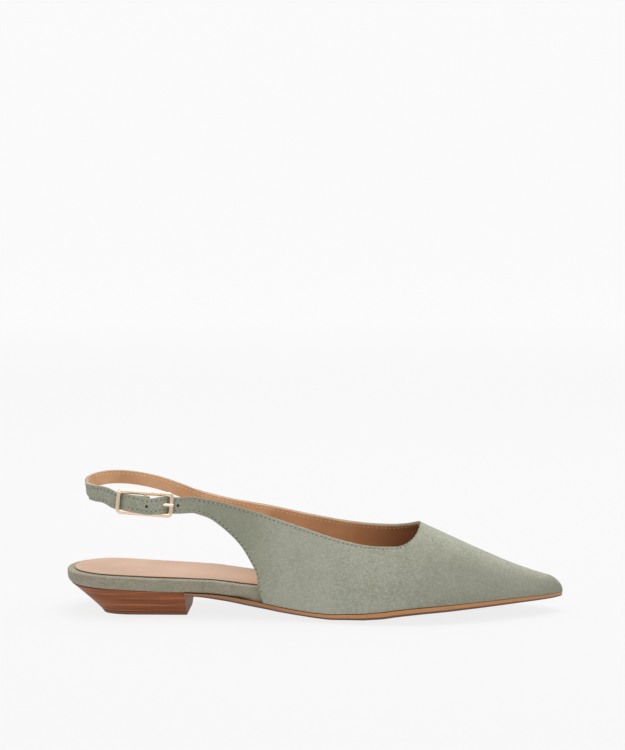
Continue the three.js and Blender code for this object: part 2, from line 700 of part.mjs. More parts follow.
// A strap of a width along points, starting on a quarter's end. turned is -1 where the path runs the
// other way round the foot.
function strap(points, width, start, steps, turned = 1) {
  const path = strapPath(points);
  const outside = [start[0]];
  const inside = [start[1]];
  for (let i = 1; i <= steps; i += 1) {
    const { middle, across, out } = strapFrame(path, i / steps);
    const at = (side, depth) =>
      middle
        .clone()
        .addScaledVector(across, (side * width) / 2)
        .addScaledVector(out, (turned * depth * STRAP) / 2);
    outside.push([at(-1, 1), at(1, 1)]);
    inside.push([at(-1, -1), at(1, -1)]);
  }
  const skin = new Skin();
  skin.grid(outside);
  skin.grid(inside.map((row) => [...row].reverse()));
  skin.strip(inside.map((row) => row[0]), outside.map((row) => row[0]));
  skin.strip(outside.map((row) => row[1]), inside.map((row) => row[1]));
  skin.strip(outside[0], inside[0]);
  skin.strip(inside[steps], outside[steps]);
  return skin.geometry();
}

const middleOf = (corners) =>
  corners.flat().reduce((sum, p) => sum.add(p), new THREE.Vector3()).multiplyScalar(1 / 4);

const slingPoint = (row) =>
  new THREE.Vector3(row.at * LENGTH, row.side * SLING_HALF, row.rise * SLING_TOP);

// Path of the sling through the buckle: under the billet, round the centre bar and back behind it
function chapePoints() {
  const turn = range(Math.PI / 2, -Math.PI / 2, TURN_STEPS);
  const loop = turn.map((angle) => ({ along: LOOP * Math.cos(angle), out: LOOP * Math.sin(angle) }));
  const under = -LOOP - STRAP;
  const rows = [
    { along: -END_BAR - BAR / 2, out: BEHIND_STRAP, across: 0.5 * SAG },
    { along: -END_BAR + BAR, out: 0.93 * BEHIND_STRAP, across: 0.25 * SAG },
    { along: -0.36 * END_BAR, out: -0.06 * LOOP },
    { along: -0.13 * END_BAR, out: 0.94 * LOOP },
    ...loop,
    { along: -0.2 * CHAPE, out: 0.64 * under },
    { along: -0.5 * CHAPE, out: under },
    { along: -CHAPE, out: BEHIND_STRAP - STRAP - CLEARANCE },
  ];
  return rows.map(atBuckle);
}

const slingPoints = () => [
  middleOf(wingEnd("inner", 1)),
  ...SLING.map(slingPoint),
  ...chapePoints(),
];

function slingStrap() {
  const geometry = strap(slingPoints(), SLING_WIDTH, wingEnd("inner", 1), COUNTS.sling);
  const slot = new THREE.BoxGeometry(SLOT, PRONG + 2 * CLEARANCE, 2 * OVER_LOOP);
  return cut(geometry, [placed(slot)]);
}

// Path of the billet: from the outer quarter under the front bar, over the centre and under the back bar
function billetPoints() {
  const rows = [
    { along: END_BAR + BAR, out: UNDER_BAR },
    { along: END_BAR - 0.6 * BAR, out: UNDER_BAR },
    { along: 0.62 * END_BAR, out: 0.86 * OVER_LOOP, across: -0.1 * SAG },
    { along: 0.42 * END_BAR, out: OVER_LOOP, across: -0.7 * SAG },
    { along: 0.12 * END_BAR, out: OVER_LOOP, across: -SAG },
    { along: -0.25 * END_BAR, out: OVER_LOOP, across: -0.55 * SAG },
    { along: -0.58 * END_BAR, out: 0.75 * OVER_LOOP, across: -0.12 * SAG },
    { along: -END_BAR + 0.7 * BAR, out: 0.95 * UNDER_BAR },
    { along: -END_BAR - BAR / 2, out: UNDER_BAR },
  ];
  return rows.map(atBuckle);
}

// The billet's end lies on the sling's outside, from the back bar to near the heel's back
function billetEnd() {
  const path = strapPath(slingPoints());
  const bar = atBuckle({ along: -END_BAR - BAR / 2, out: BEHIND_STRAP });
  const away = (share) => path.getPointAt(share).distanceTo(bar);
  const shares = range(0, 1, FINE * TURN_STEPS);
  const nearest = shares.reduce((best, share) => (away(share) < away(best) ? share : best));
  const length = path.getLength();
  const step = BILLET_END / (COUNTS.billetEnd + 1);
  return range(step, BILLET_END, COUNTS.billetEnd).map((back) => {
    const { middle, out } = strapFrame(path, nearest - back / length);
    return middle.addScaledVector(out, STRAP + CLEARANCE);
  });
}

function buckleStrap() {
  const start = wingEnd("outer", -1);
  const points = [middleOf(start), ...billetPoints(), ...billetEnd()];
  const geometry = strap(points, STRAP_WIDTH, start, COUNTS.billet, -1);
  const hole = (along, across, out) => {
    const drill = new THREE.CylinderGeometry(HOLE / 2, HOLE / 2, 3 * STRAP, COUNTS.round);
    drill.rotateX(Math.PI / 2);
    return placed(drill.translate(along, across, out));
  };
  const drills = [
    hole(PIN_HOLE - HOLE_STEP, -SAG, OVER_LOOP),
    hole(PIN_HOLE + HOLE_STEP, 0, UNDER_BAR),
    placed(pinGeometry(PRONG / 2 + CLEARANCE)),
  ];
  return cut(geometry, drills);
}

// A shape drawn in the buckle's own directions, put in its place
const placed = (geometry) => geometry.applyMatrix4(buckleTurn);

function solid(geometry) {
  const bare = geometry.clone();
  bare.deleteAttribute("normal");
  bare.deleteAttribute("uv");
  const merged = mergeVertices(bare, 1e-4);
  const vertProperties = new Float32Array(merged.attributes.position.array);
  const triVerts = new Uint32Array(merged.index.array);
  return new wasm.Manifold(new wasm.Mesh({ numProp: 3, vertProperties, triVerts }));
}

function fromSolid(body) {
  const mesh = body.getMesh();
  const geometry = new THREE.BufferGeometry();
  geometry.setAttribute("position", new THREE.BufferAttribute(mesh.vertProperties, 3));
  geometry.setIndex(new THREE.BufferAttribute(mesh.triVerts, 1));
  return geometry;
}

const cut = (geometry, tools) =>
  fromSolid(tools.reduce((body, tool) => body.subtract(solid(tool)), solid(geometry)));

const joined = (geometries) =>
  fromSolid(geometries.slice(1).reduce((body, next) => body.add(solid(next)), solid(geometries[0])));

// A flat ring or rectangle with round corners
function roundedRectangle(path, length, width, radius) {
  const [x, y] = [length / 2 - radius, width / 2 - radius];
  const corners = [[x, y], [-x, y], [-x, -y], [x, -y]];
  corners.forEach(([cx, cy], i) => {
    path.absarc(cx, cy, radius, (i * Math.PI) / 2, ((i + 1) * Math.PI) / 2, false);
  });
  return path;
}

function buckleFrame() {
  const shape = roundedRectangle(new THREE.Shape(), FRAME_LENGTH, FRAME_WIDTH, FRAME_CORNER);
  const window = [FRAME_LENGTH - 2 * BAR, FRAME_WIDTH - 2 * BAR];
  shape.holes.push(roundedRectangle(new THREE.Path(), ...window, WINDOW_CORNER));
  const frame = new THREE.ExtrudeGeometry(shape, {
    depth: FRAME_THICK,
    bevelEnabled: false,
    curveSegments: 4,
  });
  frame.translate(0, 0, -FRAME_THICK / 2);
  const bar = new THREE.CylinderGeometry(PIVOT / 2, PIVOT / 2, FRAME_WIDTH - BAR, COUNTS.round);
  return placed(joined([frame, bar]));
}

// The pin, from the centre bar to rest on the front bar
function pinGeometry(radius) {
  const start = new THREE.Vector3(PIVOT / 2 + CLEARANCE, 0, PIVOT / 2 + CLEARANCE);
  const rest = FRAME_THICK / 2 + CLEARANCE + PRONG / 2;
  const end = new THREE.Vector3(END_BAR + 0.4 * BAR, 0, rest);
  const line = new THREE.LineCurve3(start, end);
  const pin = new THREE.CylinderGeometry(radius, radius, line.getLength(), COUNTS.round);
  const turn = new THREE.Quaternion().setFromUnitVectors(
    new THREE.Vector3(0, 1, 0),
    end.clone().sub(start).normalize(),
  );
  pin.applyQuaternion(turn);
  const middle = line.getPoint(0.5);
  return pin.translate(middle.x, middle.y, middle.z);
}

function buckleProng() {
  const inner = PIVOT / 2 + CLEARANCE;
  const outer = inner + PRONG / 2;
  const half = PRONG / 2;
  const profile = [[inner, -half], [outer, -half], [outer, half], [inner, half], [inner, -half]];
  const ring = new THREE.LatheGeometry(profile.map((p) => new THREE.Vector2(...p)), COUNTS.round);
  return placed(joined([ring, pinGeometry(PRONG / 2)]));
}

// Name, geometry, colour, roughness and metalness of each piece
const PIECES = [
  ["outsole", outsole, 0xbe7d4b, 0.55, 0],
  ["heel_block", heelBlock, 0x825037, 0.5, 0],
  ["heel_top_piece", heelTopPiece, 0x6e4129, 0.6, 0],
  ["footbed", footbed, 0x979c86, 0.95, 0],
  ["sock", sock, 0xd6b395, 0.5, 0],
  ["upper", upper, 0x989d88, 0.95, 0],
  ["sling_strap", slingStrap, 0x989d88, 0.95, 0],
  ["buckle_strap", buckleStrap, 0x989d88, 0.95, 0],
  ["buckle_frame", buckleFrame, 0xe1c3a5, 0.25, 1],
  ["buckle_prong", buckleProng, 0xe1c3a5, 0.25, 1],
];

const slingback = new THREE.Group();
for (const [name, build, color, roughness, metalness] of PIECES) {
  const material = new THREE.MeshStandardMaterial({ color, roughness, metalness });
  const piece = new THREE.Mesh(build(), material);
  piece.name = name;
  slingback.add(piece);
}

// The shoe stands on the floor with the middle of its plan at the origin
const extent = new THREE.Box3().setFromObject(slingback, true);
const middle = extent.getCenter(new THREE.Vector3());
slingback.position.set(-middle.x, -middle.y, -extent.min.z);

export default slingback;
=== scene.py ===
"""Looks of a woman's slingback flat for the right foot: suede upper and straps, tan lining, stacked heel.
Lengths are in millimetres on the last, where x runs from the back of the footbed to the toe, the outer
side is -y and z is the height over the floor. laid() turns them into metres in the shoe's own frame."""
import math

import bmesh
import bpy
import numpy as np
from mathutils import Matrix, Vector


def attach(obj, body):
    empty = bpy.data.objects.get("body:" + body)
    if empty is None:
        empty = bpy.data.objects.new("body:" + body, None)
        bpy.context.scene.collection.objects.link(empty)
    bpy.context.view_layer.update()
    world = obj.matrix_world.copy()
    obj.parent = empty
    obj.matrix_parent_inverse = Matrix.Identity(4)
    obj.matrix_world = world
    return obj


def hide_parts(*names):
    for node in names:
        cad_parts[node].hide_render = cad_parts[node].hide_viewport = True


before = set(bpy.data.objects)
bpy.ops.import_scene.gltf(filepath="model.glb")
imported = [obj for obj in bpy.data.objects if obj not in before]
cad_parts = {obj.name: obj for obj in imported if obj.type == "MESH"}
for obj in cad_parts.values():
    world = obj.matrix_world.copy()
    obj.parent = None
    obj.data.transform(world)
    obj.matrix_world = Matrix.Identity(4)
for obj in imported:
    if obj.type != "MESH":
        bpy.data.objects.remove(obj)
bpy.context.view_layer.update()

# The last
# The wooden or plastic form that the shoe is built on. It gives every section its curves, so the
# functions that draw it are here and each piece below takes its own sizes from them.
LENGTH = 270
HEEL_HEIGHT, TOE_SPRING = 15, 8
HEEL_ROUND, TOE_ROUND = 29, 6
SOLE, FOOTBED, CROWN = 3.6, 7.7, 2.2
WALL, CLEARANCE = 1.8, 0.3
THROAT, CORNER, BREAST = 192.5, 108.54, 67.5
THROAT_HEIGHT, RIDGE_SIDE = 48, 3
RIDGE_SLANT, ARCH_POWER = 1.09, 1.5
BREAST_SKEW = 1.6
TIP_START = LENGTH - WALL - CLEARANCE - TOE_ROUND
HEEL_POWER = 2 / 2.15
MIDDLE = np.array([LENGTH / 2, -0.5748, 0])

# half widths of the footbed to the outer and inner side, along the shoe
SEAT, WAIST = 56, 49.5
BALL = 76 - 2 * (WALL + CLEARANCE)
OUTLINE = np.array([
    [HEEL_ROUND / LENGTH, 0.5 * SEAT, 0.5 * SEAT],
    [0.185, 0.495 * SEAT, 0.489 * SEAT],
    [0.259, 0.545 * WAIST, 0.511 * WAIST],
    [0.341, 0.529 * WAIST, 0.465 * WAIST],
    [0.396, 0.529 * WAIST, 0.461 * WAIST],
    [0.474, 0.404 * BALL, 0.348 * BALL],
    [0.556, 0.468 * BALL, 0.426 * BALL],
    [0.659, 0.508 * BALL, 0.492 * BALL],
    [0.741, 0.476 * BALL, 0.478 * BALL],
    [0.815, 0.387 * BALL, 0.404 * BALL],
    [0.889, 0.258 * BALL, 0.292 * BALL],
    [0.944, 0.139 * BALL, 0.185 * BALL],
    [0.977, 0.052 * BALL, 0.109 * BALL],
    [1, -0.009 * BALL, 0.056 * BALL],
])
# rise of the sole's underside, in shares of the heel's height and of the toe spring
ARCH = np.array([
    [0, 0.973], [0.063, 0.947], [0.178, 0.847], [0.248, 0.793], [0.278, 0.747], [0.317, 0.64],
    [0.356, 0.533], [0.396, 0.407], [0.436, 0.25], [0.476, 0.127], [0.511, 0.04], [0.541, 0], [1, 0],
])
SPRING = np.array([
    [0.6, 0], [0.633, 0.09], [0.67, 0.28], [0.71, 0.43], [0.75, 0.55], [0.83, 0.74], [0.91, 0.89], [1, 1],
])
# thickness of the sole and the footbed and rise of the crown along the shoe, in shares of each
LAYERS = np.array([
    [0, 0.35, 0.914, 0],
    [0.167, 0.35, 0.927, 0],
    [0.26, 0.47, 0.909, 0],
    [0.315, 0.74, 0.922, 0],
    [0.352, 0.78, 0.935, 0],
    [0.396, 0.78, 1, 0.1],
    [0.474, 0.7, 0.75, 0.5],
    [0.574, 0.85, 0.52, 0.9],
    [0.63, 1, 0.5, 1],
    [0.685, 0.97, 0.49, 0.95],
    [0.85, 0.85, 0.42, 0.57],
    [1, 0.6, 0.35, 0.1],
])
# the upper's ridge: height in shares of the throat's and shift to the inner side in shares of its own
RIDGE = np.array([
    [0.267, 3.75, 0.33],
    [0.315, 3.5, 0.33],
    [0.396, 2.98, 0.33],
    [0.474, 2.19, 0.6],
    [0.556, 1.56, 0.83],
    [0.63, 1.23, 0.95],
    [0.713, 1, 1],
    [0.752, 0.9, 0.98],
    [0.833, 0.694, 0.9],
    [0.915, 0.506, 0.8],
    [0.977, 0.404, 0.7],
    [1, 0.38, 0.65],
])


def curve(rows, column, scale=1.0):
    """A function of x through one column of rows: cubic between rows, with slopes that are the
    harmonic mean of the slopes on both sides, so it never swings past a row."""
    xs, ys = rows[:, 0] * LENGTH, rows[:, column] * scale
    steps = np.diff(xs)
    slopes = np.diff(ys) / steps
    tangents = np.zeros(len(xs))
    tangents[0], tangents[-1] = slopes[0], slopes[-1]
    for i in range(1, len(xs) - 1):
        a, b = slopes[i - 1], slopes[i]
        tangents[i] = 2 * a * b / (a + b) if a * b > 0 else 0

    def at(x):
        """The curve's value at x."""
        x = np.clip(x, xs[0], xs[-1])
        k = np.clip(np.searchsorted(xs, x, side="left") - 1, 0, len(steps) - 1)
        t = (x - xs[k]) / steps[k]
        base = (1 + 2 * t) * (1 - t) ** 2 * ys[k] + t * t * (3 - 2 * t) * ys[k + 1]
        return base + steps[k] * t * (1 - t) * ((1 - t) * tangents[k] - t * tangents[k + 1])

    return at


outer_half, inner_half = curve(OUTLINE, 1), curve(OUTLINE, 2)
arch_rise, spring_rise = curve(ARCH, 1, HEEL_HEIGHT), curve(SPRING, 1, TOE_SPRING)
sole_thickness, footbed_thickness = curve(LAYERS, 1, SOLE), curve(LAYERS, 2, FOOTBED)
crown_rise = curve(LAYERS, 3, CROWN)
ridge_rise, ridge_side = curve(RIDGE, 1, THROAT_HEIGHT), curve(RIDGE, 2, RIDGE_SIDE)


def underside(x):
    """Height of the sole's underside: the arch and the toe spring."""
    return arch_rise(x) + spring_rise(x)


def sole_top(x):
    """Height of the sole's upper face."""
    return underside(x) + sole_thickness(x)


def footbed_top(x):
    """Height of the footbed's upper face, over the sole and a gap."""
    return sole_top(x) + CLEARANCE + footbed_thickness(x)


def feather(x):
    """Height of the line where the upper turns under at the sole."""
    return sole_top(x) + crown_rise(x) + CLEARANCE


def ease(x, low, high):
    """0 below low, 1 above high, and a smooth step between."""
    t = np.clip((x - low) / (high - low), 0, 1)
    return t * t * (3 - 2 * t)


def mix(a, b, t):
    """The value a share t of the way from a to b."""
    return a + (b - a) * t


def stations(heel=0, along=(), toe=0, toe_turn=math.pi / 2):
    """Places along the outline as rows of length, angle round the heel and angle round the toe.
    The angles are a quarter turn and 0 where the place is not on a round end."""
    rows = [[HEEL_ROUND, a, 0] for a in np.linspace(0, math.pi / 2, heel + 1)[:-1]] if heel else []
    rows += [[x, math.pi / 2, 0] for x in along]
    rows += [[TIP_START, math.pi / 2, a] for a in np.linspace(0, toe_turn, toe + 1)[1:]] if toe else []
    return np.array(rows)


def outline(place, side, grow):
    """Plan of the footbed at each place, grown outwards: an ellipse round the toe and a squarer
    oval round the heel; side is -1 on the outer side and 1 on the inner side."""
    start, heel, toe = place[..., 0], place[..., 1], place[..., 2]
    x = start + (TOE_ROUND + grow) * np.sin(toe)
    centre = (inner_half(x) - outer_half(x)) / 2
    half = (inner_half(x) + outer_half(x)) / 2 + grow
    back = np.clip(np.cos(heel), 0, 1) ** HEEL_POWER
    out = np.sin(heel) ** HEEL_POWER
    return x - (HEEL_ROUND + grow) * back, centre + side * half * out * np.cos(toe)


# Outsole
# Thin veg-tanned sole leather, cut to shape, its edge trimmed, waxed and burnished darker along the
# lower arris, where painted shade darkens it further. It is glued to the footbed and to the lasting
# margin of the upper.
def laid(points):
    """Millimetres on the last as metres in the shoe's frame."""
    return (np.asarray(points, float) - MIDDLE) * 0.001


def linear(colour):
    """sRGB hex as linear red, green, blue and alpha; anything else is passed on."""
    if not isinstance(colour, str):
        return colour
    parts = [int(colour[i:i + 2], 16) / 255 for i in (0, 2, 4)]
    return [c / 12.92 if c <= 0.04045 else ((c + 0.055) / 1.055) ** 2.4 for c in parts] + [1]


def add(tree, kind, inputs=None, **settings):
    """A shader node with its settings; each input is a value or the socket that feeds it."""
    made = tree.nodes.new(kind)
    for name, value in settings.items():
        setattr(made, name, value)
    for name, value in (inputs or {}).items():
        if isinstance(value, bpy.types.NodeSocket):
            tree.links.new(value, made.inputs[name])
        else:
            made.inputs[name].default_value = value
    return made


def material(name, **inputs):
    """A material named for what it is, with its main shader's own values set."""
    made = bpy.data.materials.new(name)
    made.use_nodes = True
    shader = made.node_tree.nodes["Principled BSDF"]
    for key, value in inputs.items():
        shader.inputs[key.replace("_", " ").title().replace("Ior", "IOR")].default_value = linear(value)
    return made, made.node_tree, shader


def object_place(tree, scale=(1, 1, 1)):
    """Object coordinates in millimetres, stretched by a scale for each axis."""
    place = add(tree, "ShaderNodeTexCoord").outputs["Object"]
    scaled = [1000 * s for s in scale]
    return add(tree, "ShaderNodeMapping", {"Vector": place, "Scale": scaled}).outputs[0]


def noise(tree, place, size, detail=2.0, rough=0.5):
    """Noise with features of a size in millimetres."""
    inputs = {"Vector": place, "Scale": 1 / size, "Detail": detail, "Roughness": rough}
    return add(tree, "ShaderNodeTexNoise", inputs).outputs["Fac"]


def blend(tree, share, a, b):
    """Mix of two colours by a share; each is a hex or a socket."""
    return add(tree, "ShaderNodeMix", {0: share, 6: linear(a), 7: linear(b)}, data_type="RGBA").outputs[2]


def ranged(tree, value, low, high, to_low=0.0, to_high=1.0):
    """A value eased from one range to another."""
    inputs = {"Value": value, "From Min": low, "From Max": high, "To Min": to_low, "To Max": to_high}
    return add(tree, "ShaderNodeMapRange", inputs, interpolation_type="SMOOTHSTEP").outputs[0]


def surface(tree, shader, colour, bumps=()):
    """Gives the shader its colour and its bumps, one over the other: each is a height and how many
    millimetres it stands up."""
    tree.links.new(colour, shader.inputs["Base Color"])
    normal = None
    for height, distance in bumps:
        inputs = {"Height": height, "Distance": distance * 0.001}
        if normal is not None:
            inputs["Normal"] = normal
        normal = add(tree, "ShaderNodeBump", inputs).outputs[0]
        tree.links.new(normal, shader.inputs["Normal"])


FAR = 99.0  # distance from a seam, where there is none near


def piece(name, grids, materials):
    """One mesh from grids of points on the last. Each grid is (points, material number, values),
    where values name attributes that the materials read; meeting edges are welded."""
    coords, faces, slots, values = [], [], [], {}
    count = 0
    names = sorted({key for grid in grids for key in grid[2]})
    for points, slot, attributes in grids:
        rows, columns = points.shape[:2]
        corner = count + np.arange(rows * columns).reshape(rows, columns)
        quads = np.stack([corner[:-1, :-1], corner[:-1, 1:], corner[1:, 1:], corner[1:, :-1]], -1)
        coords.append(laid(points).reshape(-1, 3))
        faces.append(quads.reshape(-1, 4))
        slots.append(np.broadcast_to(slot, (rows - 1, columns - 1)).reshape(-1))
        for key in names:
            value = attributes.get(key, FAR if key == "seam" else 0.0)
            values.setdefault(key, []).append(np.broadcast_to(value, (rows, columns)).reshape(-1))
        count += rows * columns
    mesh = bpy.data.meshes.new(name)
    mesh.from_pydata(np.concatenate(coords), [], np.concatenate(faces).tolist())
    mesh.polygons.foreach_set("material_index", np.concatenate(slots).astype(np.int32))
    for key in names:
        layer = mesh.attributes.new(key, "FLOAT", "POINT")
        layer.data.foreach_set("value", np.concatenate(values[key]).astype(np.float32))
    work = bmesh.new()
    work.from_mesh(mesh)
    bmesh.ops.remove_doubles(work, verts=work.verts, dist=2e-6)
    bmesh.ops.dissolve_degenerate(work, dist=2e-6, edges=work.edges)
    bmesh.ops.recalc_face_normals(work, faces=work.faces)
    work.to_mesh(mesh)
    work.free()
    mesh.polygons.foreach_set("use_smooth", np.ones(len(mesh.polygons), bool))
    mesh.set_sharp_from_angle(angle=math.radians(62))
    for made in materials:
        mesh.materials.append(made)
    thing = bpy.data.objects.new(name, mesh)
    bpy.context.scene.collection.objects.link(thing)
    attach(thing, "root")
    return thing


def stacked(levels, values, across, bottom_lift=None, top_lift=None):
    """Grids of a solid made of stacked outlines: its sides, its two caps and its cut ends. levels(side)
    gives its points by level and station, values are carried by each of them, and a lift moves a cap
    up by a function of the length and of the share across."""
    outer, inner = levels(-1), levels(1)
    shares = np.linspace(0, 1, across)
    lifts = {0: bottom_lift, -1: top_lift}
    grids = [(outer, 0, values), (inner, 0, values)]
    for row, lift in lifts.items():
        cap = mix(outer[row][:, None], inner[row][:, None], shares[:, None])
        if lift:
            cap[..., 2] += lift(cap[..., 0], 2 * shares - 1)
        grids.append((cap, 0, {key: value[row][:, None] for key, value in values.items()}))
    for end in (0, -1):
        if np.abs(outer[:, end] - inner[:, end]).max() > 1e-3:
            cut = mix(outer[:, end][:, None], inner[:, end][:, None], shares[:, None])
            for row, lift in lifts.items():
                if lift:
                    cut[row, :, 2] += lift(cut[row, :, 0], 2 * shares - 1)
            grids.append((cut, 0, {key: value[:, end][:, None] for key, value in values.items()}))
    return grids


def rows_between(knots, count):
    """Smooth rows through a short table of knots, evenly spaced along the table."""
    table = np.column_stack([np.linspace(0, 1, len(knots)), knots])
    goal = np.linspace(0, LENGTH, count)
    return np.column_stack([curve(table, i)(goal) for i in range(1, table.shape[1])])


def along_axis(tree, axis="X"):
    """Length along an axis in millimetres from the shoe's middle or the floor."""
    return add(tree, "ShaderNodeSeparateXYZ", {"Vector": object_place(tree)}).outputs[axis]


def carried(tree, name):
    """Values that a mesh carries at its points."""
    return add(tree, "ShaderNodeAttribute", attribute_name=name).outputs["Fac"]


# waxed and polished: a low gloss, streaked along the cut, dark at the waist, and dark at the lower
# arris, which is burnish and painted shade
sole_edge, tree, shader = material("waxed_sole_leather", roughness=0.42,
                                   coat_weight=0.25, coat_roughness=0.3)
streaks = noise(tree, object_place(tree, (0.06, 0.06, 1)), 0.5, 3)
tan = blend(tree, streaks, "a96c38", "c28950")
tan = blend(tree, ranged(tree, along_axis(tree), -35, 10, 0.5, 0), tan, "6b4634")
# the lower part of the edge darker: burnish together with painted shade
tan = blend(tree, ranged(tree, carried(tree, "rise"), 0.24, 0.54, 1, 0), tan, "4a2d1c")
surface(tree, shader, tan, [(streaks, 0.06)])


def breast_shift(x, side):
    """How far a line across the shoe is slanted to follow the heel's breast, whose inner end lies
    before its outer end; the slant eases out to the round of the heel."""
    return side * BREAST_SKEW * (1 - ease(np.abs(x - BREAST) / (BREAST - HEEL_ROUND), 0, 1))


SOLE_INSET, SOLE_MARGIN, MARGIN_RUN, TOE_TRIM = 1.2, 0.5, 22, 0.7
# the sole's edge: inset in millimetres and share of the sole's thickness
SOLE_EDGE = rows_between([[0.9, 0], [0.25, 0.1], [0.05, 0.3], [0, 0.5], [0, 0.8], [0.06, 1]], 12)


def sole_margin(x):
    """Sole past the footbed: inside its edge at the waist and past the upper's foot at the forepart,
    a little less toward the tip of the toe."""
    forepart = ease(x, CORNER - MARGIN_RUN, CORNER)
    return mix(-SOLE_INSET, WALL + CLEARANCE + SOLE_MARGIN, forepart) - TOE_TRIM * ease(x, THROAT, TIP_START)


def sole_levels(side):
    """Levels of the sole's edge, from the floor up."""
    rows = []
    for inset, share in SOLE_EDGE:
        x, y = outline(sole_places, side, sole_margin(sole_places[:, 0]) - inset)
        x = x + breast_shift(x, side)
        rows.append(np.stack([x, y, underside(x) + crown_rise(x) + share * sole_thickness(x)], -1))
    return np.array(rows)


def crown_lift(x, share):
    """Sole's flat middle below its raised edges."""
    return crown_rise(x) * (np.clip(2 * np.abs(share) - 1, 0, 1) ** 2 - 1)


sole_places = stations(along=np.linspace(BREAST + 0.3, TIP_START, 150), toe=14)
sole_values = {"rise": np.broadcast_to(SOLE_EDGE[:, 1:], (len(SOLE_EDGE), len(sole_places)))}
sole_grids = stacked(sole_levels, sole_values, 17, crown_lift, crown_lift)
outsole = piece("outsole_leather", sole_grids, [sole_edge])
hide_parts("outsole")

# Heel
# Stacked heel of leather lifts glued on one another, sanded to a slant at the back, stained brown and
# waxed, with a darker wearing piece nailed below. The lifts show as thin lines and streaks.
HEEL_INSET, HEEL_FLARE, BREAST_SLOPE = 4.2, 1.15, 0.7
BASE_LENGTH, BASE_WIDTH, BASE_SIDE, BASE_POWER = 46.4, 31, 2, 0.62
WEARING_PIECE, LIFTS_FROM, LIFTS_TO, LIFT = 1.7, 1.85, 17, 3.3
# the heel's walls: share of a slice's height and share of its rounding
HEEL_EDGE = rows_between([[0, 1], [0.04, 0.2], [0.12, 0], [0.88, 0], [0.96, 0.2], [1, 1]], 20)


def maths(tree, operation, a, b=0.0):
    """Result of a sum on two values."""
    return add(tree, "ShaderNodeMath", {0: a, 1: b}, operation=operation).outputs[0]


# stained, then waxed to a dull polish; the grain of each lift runs as streaks along the heel
lifts, tree, shader = material("stained_stacked_leather", roughness=0.5, specular_ior_level=0.15,
                               coat_weight=0.04, coat_roughness=0.3)
layered = object_place(tree, (0.03, 0.03, 1))
streaks = noise(tree, layered, 0.9, 4, 0.65)
bands = noise(tree, layered, 2.6, 1)
brown = blend(tree, ranged(tree, streaks, 0.3, 0.7), "7a4428", "a5643e")
banded = blend(tree, ranged(tree, bands, 0.5, 0.58, 0, 0.6), brown, "6b3b24")
lift_step = maths(tree, "PINGPONG", along_axis(tree, "Z"), LIFT)
lined = blend(tree, ranged(tree, lift_step, 0, 0.3, 0.45, 0), banded, "4a2a1b")
surface(tree, shader, lined, [(streaks, 0.08), (ranged(tree, lift_step, 0, 0.25), 0.06)])

# ground level with the lifts but never polished
top_rubber, tree, shader = material("dark_wearing_piece", roughness=0.6)
worn = noise(tree, object_place(tree, (0.1, 0.1, 1)), 0.7, 3)
surface(tree, shader, blend(tree, worn, "5a3421", "74462e"))


def heel_plan(side, share):
    """Heel's outline a share of the way from the floor to the sole. On the floor the oval is
    narrower, shorter and squarer than under the footbed. Its straight part follows the breast's slant."""
    x, y = outline(heel_places, side, -HEEL_INSET)
    along = (x - HEEL_INSET) / (BREAST - HEEL_INSET)
    reach = np.abs(y) / (SEAT / 2 - HEEL_INSET)
    low_x = BREAST - BREAST_SLOPE - BASE_LENGTH * (1 - along)
    low_y = side * reach ** BASE_POWER * BASE_WIDTH / 2 - BASE_SIDE
    flare = share ** HEEL_FLARE
    return mix(low_x, x + breast_shift(x, side), flare), mix(low_y, y, flare)


def heel_slice(low, high, rounding):
    """Levels of a slice of the heel between two heights, its edges eased by a rounding. A slice that
    ends over the sole's height is cut to the sole's upper face."""
    def levels(side):
        """Levels of one side, from the floor up."""
        rows = []
        for height, inset in HEEL_EDGE:
            x, y = heel_plan(side, mix(low, high, height) / HEEL_HEIGHT)
            top = np.minimum(high, sole_top(x)) if high > HEEL_HEIGHT else high
            rows.append(np.stack([x, y - side * rounding * inset, mix(low, top, height) + 0 * x], -1))
        return np.array(rows)
    return levels


heel_places = stations(heel=40, along=np.linspace(HEEL_ROUND, BREAST, 26))
heel_block = piece("heel_lifts", stacked(heel_slice(LIFTS_FROM, LIFTS_TO, 0.25), {}, 9), [lifts])
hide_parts("heel_block")
heel_tip = piece("heel_wearing_piece", stacked(heel_slice(0, WEARING_PIECE, 0.2), {}, 9), [top_rubber])
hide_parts("heel_top_piece")

# Footbed and sock
# Insole board and filler wrapped in the upper's suede, which shows as a soft rounded rand round the
# heel and the waist. A sock of smooth beige leather is glued on top, its edge burnished brown and
# darkened further by painted shade where it meets the rand.
UNDERCUT, FOOTBED_ROUND, BED_TURN, BED_LAP = 3.6, 0.9, 9.5, 4
SOCK, SOCK_BORDER, SOCK_END = 0.6, 4, 250
WAVE, WAVE_START, WAVE_RUN = 0.15, 38, 9.5
STITCH_IN = 1.4


